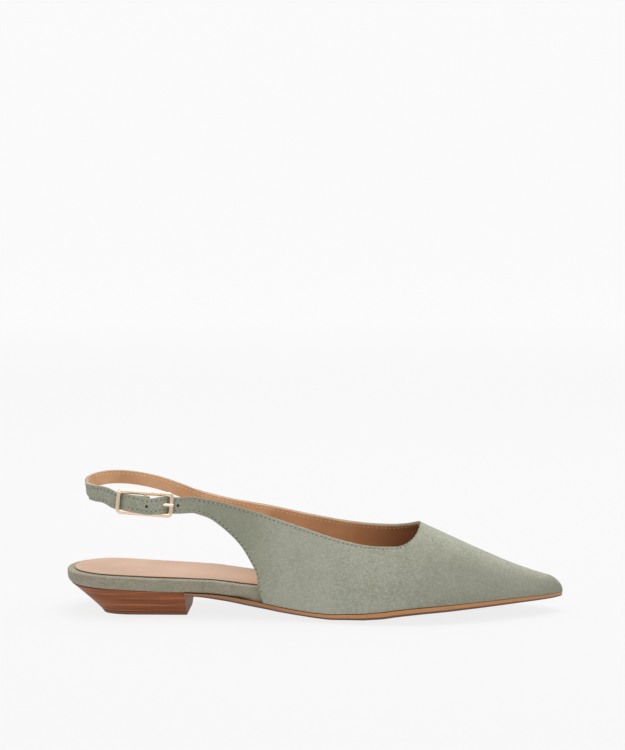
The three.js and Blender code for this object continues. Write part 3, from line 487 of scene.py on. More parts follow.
def suede(name, shades, edge_lines):
    """Sage suede, sanded flesh side of kid: matt, with a short nap, cloudy where it was brushed. shades
    are its dark and light clouds, its brushed nap, its deeps, also used for painted shade, and its
    narrow ends. The upper is lighter over the quarter and darker on its narrow end; its toe's flanks are
    darkened below the ridge with painted shade, and it is pressed in at the seams, where painted shade
    darkens the groove."""
    made, tree, shader = material(name, roughness=0.95, specular_ior_level=0.1, sheen_weight=0.25,
                                  sheen_roughness=0.4, sheen_tint="dcdccf")
    dark, light, brushed_nap, deep, wing = shades
    place = object_place(tree)
    clouds = noise(tree, place, 11, 3)
    brushed = noise(tree, object_place(tree, (0.7, 0.7, 1)), 1.1, 4, 0.65)
    naps = noise(tree, place, 0.55, 2, 0.7)
    base = blend(tree, ranged(tree, clouds, 0.35, 0.65), dark, light)
    mottled = blend(tree, ranged(tree, brushed, 0.38, 0.66, 0, 0.75), base, brushed_nap)
    nap_and_shade = blend(tree, ranged(tree, naps, 0.34, 0.62, 0.55, 0), mottled, deep)
    layers = [(naps, 0.12), (brushed, 0.12)]
    if edge_lines:
        along, turn = along_axis(tree), carried(tree, "turn")
        # lighter over the quarter, darker on its narrow end, and painted shade on the toe's flanks below the
        # ridge
        for tone, behind, before in (
            (brushed_nap, ranged(tree, along, -70, -35), ranged(tree, along, 0, 45, 0.3, 0)),
            (wing, ranged(tree, along, -80, -45, 0.05, 0.42), ranged(tree, along, -40, -14, 1, 0)),
            (deep, ranged(tree, along, 25, 85, 0, 0.55), ranged(tree, turn, 0.5, 0.9, 1, 0)),
        ):
            nap_and_shade = blend(tree, maths(tree, "MULTIPLY", behind, before), nap_and_shade, tone)
        off = maths(tree, "ABSOLUTE", maths(tree, "SUBTRACT", carried(tree, "seam"), STITCH_IN))
        layers.append((ranged(tree, off, 0.1, 0.8), 0.2))
        # painted shade darkens the pressed groove along the stitch line
        nap_and_shade = blend(tree, ranged(tree, off, 0, 0.5, 0.3, 0), nap_and_shade, deep)
    surface(tree, shader, nap_and_shade, layers)
    return made


# the rand's suede is browner and darker than the upper's and has no seams
rand_suede = suede("sage_suede_rand", ("8a8573", "979281", "a49f8f", "787262", "6e7059"), False)
# smooth and faintly polished, with fine pores; darker and warmer toward the quarters, which is painted
# shade and painted reflection of the tan lining; its edge burnished and darkened by painted shade
sock_leather, tree, shader = material("beige_sock_leather", roughness=0.46,
                                      coat_weight=0.08, coat_roughness=0.4)
grain = noise(tree, object_place(tree), 0.5, 3, 0.6)
tone = noise(tree, object_place(tree), 26, 2)
beige = blend(tree, ranged(tree, tone, 0.3, 0.7), "b08c71", "ba977d")
beige = blend(tree, ranged(tree, grain, 0.3, 0.7, 0, 0.3), beige, "a78369")
# painted shade and painted reflection of the lining: darker and warmer toward the quarters
beige = blend(tree, ranged(tree, along_axis(tree), -85, -35, 0, 0.4), beige, "96704f")
# the cut edge burnished dark, with painted shade where it meets the rand
beige = blend(tree, ranged(tree, carried(tree, "border"), 0.15, 0.5, 0.85, 0), beige, "4d3222")
surface(tree, shader, beige, [(grain, 0.05), (tone, 0.3)])


def wall(place, u, side, inset):
    """Face of the upper: u runs from the sole (0) to the ridge (1) as a share of a quarter turn.
    The width falls with its cosine and the height grows with a power of its sine."""
    x, foot = outline(place, side, WALL + CLEARANCE - inset)
    tip = np.cos(place[..., 2])
    centre = (inner_half(x) - outer_half(x)) / 2
    ridge = centre + (ridge_side(x) - centre) * tip
    low = feather(x)
    span = (ridge_rise(x) - RIDGE_SLANT * inset - low) * tip
    turn = u * math.pi / 2
    y = ridge + (foot - ridge) * np.cos(turn)
    return np.stack([x, y, low + span * np.clip(np.sin(turn), 0, 1) ** ARCH_POWER], -1)


def wall_lean(place, z, side):
    """How far the upper's inner face has come in over its foot at a height."""
    foot, top = wall(place, 0 * z, side, WALL), wall(place, 0 * z + 1, side, WALL)
    share = np.clip((z - foot[..., 2]) / np.maximum(top[..., 2] - foot[..., 2], 1e-6), 0, 1)
    return np.abs(foot[..., 1] - top[..., 1]) * (1 - np.cos(np.arcsin(share ** (1 / ARCH_POWER))))


# side of the footbed: inset at the heel and inside the upper, height at both as a share of the
# footbed's, share of the upper's lean, and drop of the rounded upper edge
RAND = rows_between([
    [UNDERCUT, 0.4, 0, 0, 0, 0],
    [1.7, 0.25, 0.08, 0.1, 0, 0],
    [0.5, 0.2, 0.28, 0.4, 0, 0],
    [0.05, 0.2, 0.55, 0.6, 0.3, 0],
    [0, 0.4, 1, 1, 1, 0.55],
    [0.3, 0.6, 1, 1, 1, 0.16],
    [FOOTBED_ROUND, FOOTBED_ROUND, 1, 1, 1, 0],
], 22)
# edge of the sock: inset in millimetres and share of its thickness
SOCK_EDGE = rows_between([[0.1, 0], [0, 0.4], [0.08, 0.75], [0.3, 0.95], [0.9, 1.02], [2.2, 1.05]], 12)


def inside_upper(places):
    """0 where the footbed's edge is open and 1 where the upper stands round it."""
    return ease(places[:, 0], CORNER - BED_TURN - BED_LAP, CORNER - BED_LAP)


def rand_levels(side):
    """Side of the footbed: undercut and full round the heel, upright inside the upper."""
    front = inside_upper(bed_places)
    rows = []
    for heel_in, fore_in, heel_up, fore_up, lean, drop in RAND:
        shift = wall_lean(bed_places, footbed_top(bed_places[:, 0]), side) * front * lean
        x, y = outline(bed_places, side, -(mix(heel_in, fore_in, front) + shift))
        low = sole_top(x) + CLEARANCE * 0.5 + crown_rise(x)
        rows.append(np.stack([x, y, mix(low, footbed_top(x), mix(heel_up, fore_up, front)) - drop], -1))
    return np.array(rows)


bed_places = stations(heel=44, along=np.linspace(HEEL_ROUND, TIP_START, 130), toe=5, toe_turn=0.27 * math.pi)
footbed = piece("footbed_suede", stacked(rand_levels, {}, 13, crown_lift), [rand_suede])
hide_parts("footbed")


def sock_levels(side):
    """Sock on the footbed, its cut edge eased down, with two soft waves along the outer edge where the
    leather was pressed over the rand."""
    top = footbed_top(sock_places[:, 0]) + CLEARANCE + SOCK
    lean = inside_upper(sock_places) * wall_lean(sock_places, top, side)
    rows = []
    for inset, height in SOCK_EDGE:
        x, y = outline(sock_places, side, -(SOCK_BORDER + inset + lean))
        wave = WAVE * np.sin((x - WAVE_START) / WAVE_RUN) * ease(x, 25, 45) * (1 - ease(x, 70, 95)) * height
        rows.append(np.stack([x, y, footbed_top(x) + 0.1 + 0.75 * height + wave * (side < 0)], -1))
    return np.array(rows)


sock_places = stations(heel=44, along=np.linspace(HEEL_ROUND, SOCK_END, 120))
border = rows_between([[0], [0.1], [0.3], [0.6], [1.1], [2.2]], len(SOCK_EDGE))
sock_values = {"border": np.broadcast_to(border, (len(border), len(sock_places)))}
sock = piece("sock_cover", stacked(sock_levels, sock_values, 15), [sock_leather])
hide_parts("sock")

# Upper
# Sage suede and tan lining glued and closed together, cut flush at the topline so that the lining's
# pale raw edge shows, stitched all round and pulled over the last. On the outer side the pale edge also
# stands in for a painted highlight along the rounded rim. It is soft but stands by itself.
upper_suede = suede("sage_suede", ("8f9180", "9c9d8d", "b0b1a2", "76776a", "6e7059"), True)
# smooth lining leather, with pores and a cloudy tone, and painted shade that darkens it down in the toe
lining, tree, shader = material("tan_lining_leather", roughness=0.5, coat_weight=0.05, coat_roughness=0.4)
pores = noise(tree, object_place(tree), 0.6, 3, 0.6)
tone = noise(tree, object_place(tree), 18, 2)
tan = blend(tree, ranged(tree, tone, 0.3, 0.7), "c6936a", "d8ab82")
tan = blend(tree, ranged(tree, pores, 0.3, 0.7, 0, 0.3), tan, "b38458")
# painted shade: the lining darker down inside the toe
tan = blend(tree, ranged(tree, along_axis(tree), 18, 56, 0, 0.75), tan, "6e3f22")
surface(tree, shader, tan, [(pores, 0.06), (tone, 0.4)])
# undyed inside, so it is pale and dull where it is cut; on the outer rims this pale colour also paints
# the highlight of the rounded edge
raw_edge_and_highlight = material("cut_edge_and_painted_highlight", base_color="dcc0a2", roughness=0.8)[0]

COLLAR_HEIGHT = 66
# topline and back edge of each quarter: length and height in shares of the shoe's and the collar's
TOPLINE = {
    -1: [[0.267, 0.991], [0.326, 0.94], [0.396, 0.857], [0.457, 0.777], [0.518, 0.695], [0.563, 0.642],
         [0.608, 0.604], [0.644, 0.594], [0.673, 0.598], [0.69, 0.626], [0.7, 0.656], [0.709, 0.7]],
    1: [[0.267, 0.923], [0.322, 0.873], [0.405, 0.817], [0.488, 0.745], [0.57, 0.683], [0.632, 0.662],
        [0.673, 0.67], [0.693, 0.688], [0.706, 0.71]],
}
BACK_EDGE = {
    -1: [[0.267, 0.867], [0.298, 0.82], [0.317, 0.764], [0.337, 0.694], [0.357, 0.606], [0.376, 0.482],
         [0.388, 0.385], [0.393, 0.26]],
    1: [[0.267, 0.792], [0.298, 0.745], [0.317, 0.694], [0.337, 0.63], [0.357, 0.55], [0.376, 0.44],
        [0.388, 0.36], [0.393, 0.25]],
}
# creases placed on the upper: place along and up, length and width, tilt in degrees, and
# depth outwards (a trough is minus), in millimetres
CREASES = np.array([
    [128, 24, 26, 12, 60, -0.5],
    [150, 30, 30, 10, 25, 0.35],
    [176, 26, 28, 9, -50, -0.45],
    [205, 26, 26, 8, -38, -0.5],
    [214, 18, 30, 10, -35, 0.4],
    [236, 15, 22, 7, -25, -0.35],
    [112, 44, 18, 9, 70, 0.35],
    [98, 52, 20, 8, -15, -0.3],
])
INNER_CREASES_ON = 4  # the inner side's creases lie this much further to the toe


def creased(points, side):
    """Moves the upper in or out by soft troughs and ridges, each a bell that is long one way."""
    along, up, length, width, tilt, depth = CREASES.T
    dx = points[..., 0, None] - along - (INNER_CREASES_ON if side > 0 else 0)
    dz = points[..., 2, None] - up
    turn = np.radians(tilt)
    run = dx * np.cos(turn) + dz * np.sin(turn)
    off = -dx * np.sin(turn) + dz * np.cos(turn)
    move = (depth * np.exp(-(run / length) ** 2 * 2 - (off / width) ** 2 * 2)).sum(-1)
    away = points.copy()
    away[..., 1] += side * move * np.clip(np.abs(points[..., 1]) / 20, 0, 1)
    return away


def spline(points, count, power=0.5, before=None):
    """Smooth line through points, with knots spaced by the root of their distances. It starts on its
    way from the point before, where one is given."""
    points = np.asarray(points, float)
    before = 2 * points[0] - points[1] if before is None else before
    ends = np.vstack([before, points, 2 * points[-1] - points[-2]])
    gaps = np.linalg.norm(np.diff(ends, axis=0), axis=1) ** power
    knots = np.concatenate([[0], np.cumsum(gaps)])
    t = np.linspace(knots[1], knots[-2], count)
    k = np.clip(np.searchsorted(knots, t, side="right") - 1, 1, len(knots) - 3)
    t = t[:, None]

    def between(lines, reach, first=0):
        """Each line mixed with the next one, by the share of t from a knot to the one at its reach."""
        mixed = []
        for i, (a, b) in enumerate(zip(lines, lines[1:])):
            low, high = (knots[k + i + first + step - 1][:, None] for step in (0, reach))
            mixed.append(((high - t) * a + (t - low) * b) / (high - low))
        return mixed

    lines = between([ends[k + i] for i in (-1, 0, 1, 2)], 1)
    return between(between(lines, 2), 1, 1)[0]


def run_of(points):
    """Length along a line, or along each of several lines, at each of its points."""
    run = np.cumsum(np.linalg.norm(np.diff(points, axis=-2), axis=-1), axis=-1)
    return np.concatenate([0 * run[..., :1], run], axis=-1)


def at_run(points, run, goal):
    """Points of a line at given lengths along it."""
    return np.column_stack([np.interp(goal, run, points[:, i]) for i in range(points.shape[1])])


def turn_at(x, z):
    """The u of a height on the upper's face."""
    share = np.clip((z - feather(x)) / (ridge_rise(x) - feather(x)), 0, 1)
    return np.arcsin(share ** (1 / ARCH_POWER)) / (math.pi / 2)


def edge_line(rows, end, side, count):
    """An edge of the quarter in length and height, evenly spaced on the upper's face."""
    knots = np.vstack([np.array(rows) * [LENGTH, COLLAR_HEIGHT], [end]])
    fine = spline(knots, 900, 1.0)
    place = np.column_stack([fine[:, 0], np.full(900, math.pi / 2), np.zeros(900)])
    run = run_of(wall(place, turn_at(fine[:, 0], fine[:, 1]), side, 0))
    return at_run(fine, run, np.linspace(0, run[-1], count))


# columns along the back edge, the foot, the vamp and the tip, and rows up the wall and over its rim
N_BACK, N_FOOT, N_FRONT, N_TIP, N_UP, N_RIM = 46, 84, 62, 16, 54, 7
ROWS_CLOSER = 1.15  # a power over 1 sets the rows closer toward the topline


def upper_faces(side):
    """Outer and inner face of one half of the upper, as columns from the sole or the back edge up to
    the topline or the ridge, how many of the columns end on the topline, and the u of each point."""
    high = edge_line(TOPLINE[side], [THROAT, float(ridge_rise(THROAT))], side, N_BACK + N_FOOT + 1)
    back = edge_line(BACK_EDGE[side], [CORNER, float(feather(CORNER))], side, N_BACK + 1)
    foot_x = np.linspace(CORNER, THROAT, N_FOOT + 1)[1:]
    low = np.vstack([back, np.column_stack([foot_x, feather(foot_x)])])
    low_u, high_u = turn_at(low[:, 0], low[:, 1]), turn_at(high[:, 0], high[:, 1])
    high_u[-1] = 1
    front = stations(along=np.linspace(THROAT, TIP_START, N_FRONT + 1)[1:], toe=N_TIP)
    v = 1 - (1 - np.linspace(0, 1, N_UP + 1)) ** ROWS_CLOSER
    x = mix(low[:, :1], high[:, :1], v)
    rear = np.stack([x, np.full(x.shape, math.pi / 2), np.zeros(x.shape)], -1)
    place = np.concatenate([rear, np.broadcast_to(front[:, None], (len(front), N_UP + 1, 3))])
    u = np.concatenate([mix(low_u[:, None], high_u[:, None], v), np.broadcast_to(v, (len(front), N_UP + 1))])
    return [creased(wall(place, u, side, inset), side) for inset in (0, WALL)], len(high), u


def unit(ways):
    """Ways with a length of 1."""
    return ways / np.maximum(np.linalg.norm(ways, axis=-1, keepdims=True), 1e-9)


def rim(outer, inner, before, bulge):
    """Cut edge between two faces, a little rounded away from the row before it."""
    t = np.linspace(0, 1, N_RIM + 1)[:, None, None]
    return mix(outer, inner, t) + unit(outer - before) * bulge * np.sqrt(np.clip(1 - (2 * t - 1) ** 2, 0, 1))


RIM_BULGE, LOW_BULGE = 0.3, 0.25
# across the cut edge: suede, the lining's raw edge, lining; on the inner side the suede is pulled over;
# the pale raw edge on the outer side is also a painted highlight along the rim
EDGE_SLOTS = {-1: np.array([0, 0, 0, 2, 2, 1, 1])[:, None], 1: np.array([0, 0, 0, 0, 0, 1, 1])[:, None]}
upper_grids, upper_edges = [], {}
for side in (-1, 1):
    (outer, inner), rear, turn = upper_faces(side)
    for slot, face in ((0, outer), (1, inner)):
        run = run_of(face)
        seam = run[:, -1:] - run
        seam[rear:] = FAR
        behind = np.minimum(seam, run)
        seam[:N_BACK - 2] = behind[:N_BACK - 2]
        upper_grids.append((face, slot, {"seam": seam, "turn": turn}))
    top = rim(outer[:rear, -1], inner[:rear, -1], outer[:rear, -2], RIM_BULGE)
    low = rim(outer[:, 0], inner[:, 0], outer[:, 1], LOW_BULGE)
    end = np.stack([outer[0], inner[0]])
    upper_grids += [(top, EDGE_SLOTS[side], {}), (low, 0, {}), (end, 0, {})]
    upper_edges[side] = {"outer": outer, "inner": inner, "rear": rear, "top": top, "low": low}

upper = piece("upper_leather", upper_grids, [upper_suede, lining, raw_edge_and_highlight])
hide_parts("upper")

# Stitches of the upper
# Fine lockstitch just inside every edge: sage thread sunk in the suede between needle holes, which
# are dark discs of painted shade, and cream thread on the lining.
sage_thread = material("sage_thread", base_color="a9aa95", roughness=0.7, sheen_weight=0.3)[0]
cream_thread = material("cream_thread", base_color="e6d0ae", roughness=0.7, sheen_weight=0.3)[0]
# painted shade: a dark disc over each needle hole
needle_hole_shade = material("needle_hole_shade", base_color="45442f", roughness=1.0)[0]

def circle(turn, a, b):
    """Ways round a circle, from the way a at no turn to the way b at a quarter turn."""
    return np.cos(turn)[..., None] * a + np.sin(turn)[..., None] * b


STITCH = 2.4
# shares of a stitch: where its thread starts, how long that is, and where its needle hole lies
THREAD_START, THREAD_SHARE, HOLE_SHARE = 0.3, 0.62, 0.12
# one thread: share of its length, height over the face and radius, in millimetres
THREAD = np.array([
    [0.04, -0.2, 0.1], [0.2, -0.05, 0.16], [0.5, 0.05, 0.2], [0.8, -0.05, 0.16], [0.96, -0.2, 0.1],
])
# one needle hole: height over the face and radius
NEEDLE_HOLE = [[0.05, 1e-4], [0.045, 0.26], [-0.1, 0.36]]


def stitch_row(line, normals, thread, holes):
    """Threads and needle holes along a line on a face: each thread is a short tube that dives into
    the leather at both ends."""
    run = run_of(line)
    count = max(int(run[-1] / STITCH), 1)
    step = run[-1] / count
    starts = np.arange(count) * step
    goal = (starts[:, None] + THREAD_START * step + THREAD[:, 0] * THREAD_SHARE * step).reshape(-1)
    centre, out = at_run(line, run, goal), unit(at_run(normals, run, goal))
    across = np.cross(unit(at_run(line, run, goal + 0.05) - at_run(line, run, goal - 0.05)), out)
    depth, radius = np.tile(THREAD[:, 1], count), np.tile(THREAD[:, 2], count)
    turn = np.linspace(0, 2 * math.pi, 7)
    ring = circle(turn, across[:, None], out[:, None]) * radius[:, None, None]
    ring = (centre + out * depth[:, None])[:, None] + ring
    grids = [(tube, thread, {}) for tube in np.split(ring, count)]
    if holes is not None:
        spot, up = at_run(line, run, starts + HOLE_SHARE * step), unit(at_run(normals, run, starts))
        away = unit(at_run(line, run, starts + 0.1) - at_run(line, run, starts))
        sidewise = np.cross(away, up)
        for i in range(count):
            disc = circle(turn, away[i], sidewise[i])
            rings = np.stack([spot[i] + up[i] * height + disc * radius for height, radius in NEEDLE_HOLE])
            grids.append((rings, holes, {}))
    return grids


def face_line(face, distance, columns, from_top):
    """Line on a face at a distance from the top or foot of its columns, and the face's normals there."""
    run = run_of(face)
    line = []
    for i in columns:
        goal = run[i, -1] - distance if from_top else distance
        line.append([np.interp(goal, run[i], face[i, :, k]) for k in range(3)])
    return np.array(line)


def outward(line, face_side, up_hint):
    """Normals of a line on the upper: across the line and the way up the face."""
    normal = unit(np.cross(np.gradient(line, axis=0), up_hint))
    return normal * np.sign((normal[:, 1] * face_side).mean())


stitch_grids = []
for side in (-1, 1):
    sides = upper_edges[side]
    for name, thread, holes, outwards in (("outer", 0, 2, side), ("inner", 1, None, -side)):
        face = sides[name]
        for columns, from_top in ((range(0, sides["rear"] - 1), True), (range(0, N_BACK - 1), False)):
            line = face_line(face, STITCH_IN, columns, from_top)
            beyond = face_line(face, STITCH_IN + 1, columns, from_top)
            normals = outward(line, outwards, (line - beyond) * (1 if from_top else -1))
            stitch_grids += stitch_row(line, normals, thread, holes)
upper_stitches = piece("upper_stitches", stitch_grids, [sage_thread, cream_thread, needle_hole_shade])

# Straps
# Strips of the same suede and lining, stitched along both edges. The sling runs on from the inner
# quarter round the heel, passes under the buckle and is folded back round its centre bar. The buckle
# strap comes from the outer quarter through the buckle, and its stitched end lies on the sling.
STRAP_WIDTH, SLING_WIDTH, STRAP, SAG = 8.2, 7, 1.4, 1.5
BUCKLE_PLACE = np.array([45.63, -27.1, 62.2])
LEAN, BACK_LEAN, DROP = math.radians(7), math.radians(-13), math.radians(4.2)
FRAME_LENGTH, FRAME_WIDTH, FRAME_THICK, FRAME_CORNER = 30.7, 13.4, 1.8, 1.7
BAR, PIVOT, PRONG = 2.4, 1.6, 1.7
END_BAR = (FRAME_LENGTH - BAR) / 2
UNDER_BAR = -(FRAME_THICK / 2 + CLEARANCE + STRAP / 2)
BEHIND_STRAP = UNDER_BAR - STRAP - CLEARANCE
LOOP = PIVOT / 2 + CLEARANCE + STRAP / 2
OVER_LOOP = LOOP + STRAP + CLEARANCE
FOLDED_BACK, BILLET_END, BILLET_SLANT, STRAP_STEP, INSIDE_STEPS = 11, 19, 1.6, 1.1, 18
# how far along a strap it has come down to its own thickness and shape, and how long its slant is
THIN_RUN, SHAPE_RUN, SLANT_RUN = 8, 9, 4
SLING_HALF, SLING_TOP = 25, 69.8
# middle of the sling: length, side and height in shares of the shoe's and of the sling's own
SLING = np.array([
    [0.222, 0.985, 0.879], [0.17, 1, 0.945], [0.115, 0.905, 0.989], [0.074, 0.7, 1], [0.0485, 0.38, 0.99],
    [0.0404, 0, 0.974], [0.0485, -0.38, 0.957], [0.074, -0.7, 0.946], [0.0904, -0.83, 0.941],
]) * [LENGTH, SLING_HALF, SLING_TOP]

along_buckle = np.array([math.cos(DROP), 0, -math.sin(DROP)])
upright = np.array([0, math.sin(LEAN), math.cos(LEAN)])
across_buckle = unit(upright + along_buckle * math.sin(DROP) * math.cos(LEAN))
out_buckle = np.cross(along_buckle, across_buckle)


def at_buckle(along, out, across=0.0):
    """A point in the buckle's own directions."""
    along, across, out = np.broadcast_arrays(along, across, out)
    return (BUCKLE_PLACE + along[..., None] * along_buckle + across[..., None] * across_buckle
            + out[..., None] * out_buckle)


def across_at(points):
    """The way across a strap: up, leaning over the foot beside the buckle and square to it there, and
    leaning out at the heel's back."""
    back = 1 - ease(points[:, 0], SLING[:, 0].min(), BUCKLE_PLACE[0] - END_BAR)
    lean = LEAN + BACK_LEAN * back
    inward = unit(np.column_stack([(BUCKLE_PLACE[0] - points[:, 0]) * back, -points[:, 1], 0 * back]))
    up = inward * np.sin(lean)[:, None] + np.column_stack([0 * back, 0 * back, np.cos(lean)])
    return up + along_buckle * math.sin(DROP) * (1 - back)[:, None]


def strap_frames(points, before):
    """Middles, ways across and ways out of a strap at even steps along a smooth line."""
    fine = spline(points, 4000, 0.5, before)
    run = run_of(fine)
    middles = at_run(fine, run, np.linspace(0, run[-1], int(run[-1] / STRAP_STEP) + 1))
    ahead = unit(np.gradient(middles, axis=0))
    across = across_at(middles)
    across = unit(across - ahead * (across * ahead).sum(1, keepdims=True))
    return middles, across, np.cross(ahead, across)


def quarter_end(side, column=0):
    """Ring of points round the end of a quarter: up its outside, over the top edge, down its inside
    and back under the lower edge."""
    edge = upper_edges[side]
    outer, inner = edge["outer"][column], edge["inner"][column]
    top, low = edge["top"][:, column], edge["low"][:, column]
    return np.concatenate([outer, top[1:], inner[::-1][1:], low[::-1][1:]])


def ring_middle(ring):
    """Middle of a ring's four corners."""
    return ring[[0, N_UP, N_UP + N_RIM, 2 * N_UP + N_RIM]].mean(0)


def strap_ring(middle, across, out, width, thick):
    """Ring of a strap with the same count of points as a quarter's end."""
    face = across * np.linspace(-1, 1, N_UP + 1)[:, None] * width / 2 + out * thick / 2
    turn = np.linspace(0, math.pi, N_RIM + 1)[1:, None]
    edge = across * (width / 2 + RIM_BULGE * np.sin(turn)) + out * np.cos(turn) * thick / 2
    return middle + np.concatenate([face, edge, -face[1:], -edge])


def strap_grids(side, points, width, slant=0):
    """Skin of a strap that grows out of a quarter's end, with its middle line and ways across and out.
    slant moves the corners of its free end along by that many millimetres, one on and one back."""
    end = quarter_end(side)
    middle, before = ring_middle(end), ring_middle(quarter_end(side, 2))
    middles, across, out = strap_frames(np.vstack([[middle], points]), before)
    out = out * side
    run = run_of(middles)
    rings = [end]
    for i in range(1, len(middles)):
        ring = strap_ring(middles[i], across[i], out[i], width, mix(WALL, STRAP, ease(run[i], 0, THIN_RUN)))
        height = ((ring - middles[i]) @ across[i])[:, None] / (width / 2)
        ahead = unit(middles[i] - middles[i - 1])
        ring = ring + ahead * height * slant * (1 - ease(run[-1] - run[i], 0, SLANT_RUN))
        rings.append(mix(end + (middles[i] - middle), ring, ease(run[i], 0, SHAPE_RUN)))
    rings = np.array(rings)
    face, rims = np.linspace(0, 1, N_UP + 1), EDGE_SLOTS[side][:, 0]
    edge = width * np.minimum(face, 1 - face)
    seam = np.concatenate([edge, np.zeros(N_RIM), edge[1:], np.zeros(N_RIM)])
    slots = np.concatenate([np.zeros(N_UP), rims, np.ones(N_UP), rims[::-1]])
    grids = [(rings, slots[None, :], {"seam": np.broadcast_to(seam, rings.shape[:2])})]
    for ring in rings[[0, -1]]:
        up, down = ring[:N_UP + 1], ring[N_UP + N_RIM:2 * N_UP + N_RIM + 1]
        over, under = ring[N_UP:N_UP + N_RIM + 1], ring[2 * N_UP + N_RIM:]
        for pair in ((up, down[::-1]), (over, up[-1:]), (under, up[:1])):
            grids.append((np.stack(np.broadcast_arrays(*pair)), 0, {}))
    return grids, middles, across, out


def strap_stitches(middles, across, out, width, last, last_inside):
    """Rows of stitches along both edges of a strap, from its start to a last step of its line. On the
    lining only the upper row shows."""
    reach, half = across * (width / 2 - STITCH_IN), out * STRAP / 2
    grids = stitch_row((middles - reach + half)[:last], out[:last], 0, 2)
    grids += stitch_row((middles + reach + half)[:last], out[:last], 0, 2)
    return grids + stitch_row((middles + reach - half)[:last_inside], -out[:last_inside], 1, None)


def loop_points():
    """Path of the sling behind the back bar, round the centre bar and back behind it."""
    turn = np.linspace(math.pi / 2, -math.pi / 2, 8)
    under = -LOOP - STRAP
    rows = [
        [-END_BAR - BAR / 2, BEHIND_STRAP, 0.5 * SAG],
        [-END_BAR + BAR, 0.93 * BEHIND_STRAP, 0.25 * SAG],
        [-0.36 * END_BAR, -0.06 * LOOP, 0],
        [-0.13 * END_BAR, 0.94 * LOOP, 0],
        *[[LOOP * math.cos(a), LOOP * math.sin(a), 0] for a in turn],
        [-0.2 * FOLDED_BACK, 0.64 * under, 0],
        [-0.5 * FOLDED_BACK, under, 0],
        [-FOLDED_BACK, BEHIND_STRAP - STRAP - CLEARANCE, 0],
    ]
    return np.array([at_buckle(*row) for row in rows])


sling_grids, middles, across, out = strap_grids(1, np.vstack([SLING, loop_points()]), SLING_WIDTH)
sling = piece("sling_leather", sling_grids, [upper_suede, lining, raw_edge_and_highlight])
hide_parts("sling_strap")
to_bar = int(np.argmin(np.linalg.norm(middles - at_buckle(-END_BAR - BAR, BEHIND_STRAP), axis=1)))
stitches = strap_stitches(middles, across, out, SLING_WIDTH, to_bar, to_bar)
sling_stitches = piece("sling_stitches", stitches, [sage_thread, cream_thread, needle_hole_shade])

# path of the buckle strap over the end bars and the pivot: along, out and across the buckle
BARS = [
    [END_BAR + BAR, UNDER_BAR, 0],
    [END_BAR - 0.6 * BAR, UNDER_BAR, 0],
    [0.62 * END_BAR, 0.86 * OVER_LOOP, -0.1 * SAG],
    [0.42 * END_BAR, OVER_LOOP, -0.7 * SAG],
    [0.12 * END_BAR, OVER_LOOP, -SAG],
    [-0.25 * END_BAR, OVER_LOOP, -0.55 * SAG],
    [-0.58 * END_BAR, 0.75 * OVER_LOOP, -0.12 * SAG],
    [-END_BAR + 0.7 * BAR, 0.95 * UNDER_BAR, 0],
    [-END_BAR - BAR / 2, UNDER_BAR, 0],
]
back = to_bar - (np.arange(1, 6) * BILLET_END / 5 / STRAP_STEP).astype(int)
billet = np.vstack([[at_buckle(*row) for row in BARS], middles[back] + out[back] * (STRAP + CLEARANCE)])
billet_grids, middles, across, out = strap_grids(-1, billet, STRAP_WIDTH, BILLET_SLANT)
buckle_strap = piece("buckle_strap_leather", billet_grids, [upper_suede, lining, raw_edge_and_highlight])
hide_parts("buckle_strap")
billet_stitches = strap_stitches(middles, across, out, STRAP_WIDTH, len(middles) - 2, INSIDE_STEPS)

# two spare holes for the pin, punched one on each side of the hole in use; each is a dark disc of
# painted shade laid over the strap
# painted shade: the dark colour of the spare holes
punched = material("punched_hole_painted_shade", base_color="2e2720", roughness=1.0)[0]
PIN_HOLE, HOLE_STEP = 10, 7.9
# a punched hole's dished rim: radius and height over the strap's face
HOLE_RIM = [[1e-4, 0.05], [0.62, 0.05], [0.78, 0.02], [0.86, -0.3]]
hole_grids = []
for along in (PIN_HOLE - HOLE_STEP, PIN_HOLE + HOLE_STEP):
    i = int(np.argmin(np.abs(middles[:, 0] - at_buckle(along, UNDER_BAR)[0])))
    disc = circle(np.linspace(0, 2 * math.pi, 19), np.cross(across[i], out[i]), across[i])
    face = middles[i] + out[i] * STRAP / 2
    hole_grids.append((np.array([face + disc * radius + out[i] * up for radius, up in HOLE_RIM]), 3, {}))
strap_details = piece("buckle_strap_stitches", billet_stitches + hole_grids,
                      [sage_thread, cream_thread, needle_hole_shade, punched])

# Buckle
# Zinc casting, tumbled smooth and plated pale rose gold: a rectangle of soft flat bars with a centre
# bar, and a pin that turns on it. It stays fastened.
# the thin plate over tumbled metal is bright, a little duller where it is rubbed
rose_gold, tree, shader = material("polished_rose_gold_plate", metallic=1.0, roughness=0.2)
wear = noise(tree, object_place(tree), 3, 2)
surface(tree, shader, blend(tree, wear, "e8cfb3", "f1dcc5"))
tree.links.new(ranged(tree, wear, 0.3, 0.7, 0.17, 0.27), shader.inputs["Roughness"])


def bar_ring(centres, side_ways, ups, width, thick, power):
    """Tube along a line, its section a superellipse of that power."""
    side_ways, ups = (np.broadcast_to(ways, centres.shape)[:, None] for ways in (side_ways, ups))
    turn = np.linspace(0, 2 * math.pi, 21)
    wide, high = (np.sign(part) * np.abs(part) ** (2 / power) for part in (np.cos(turn), np.sin(turn)))
    return centres[:, None] + side_ways * wide[:, None] * width / 2 + ups * high[:, None] * thick / 2


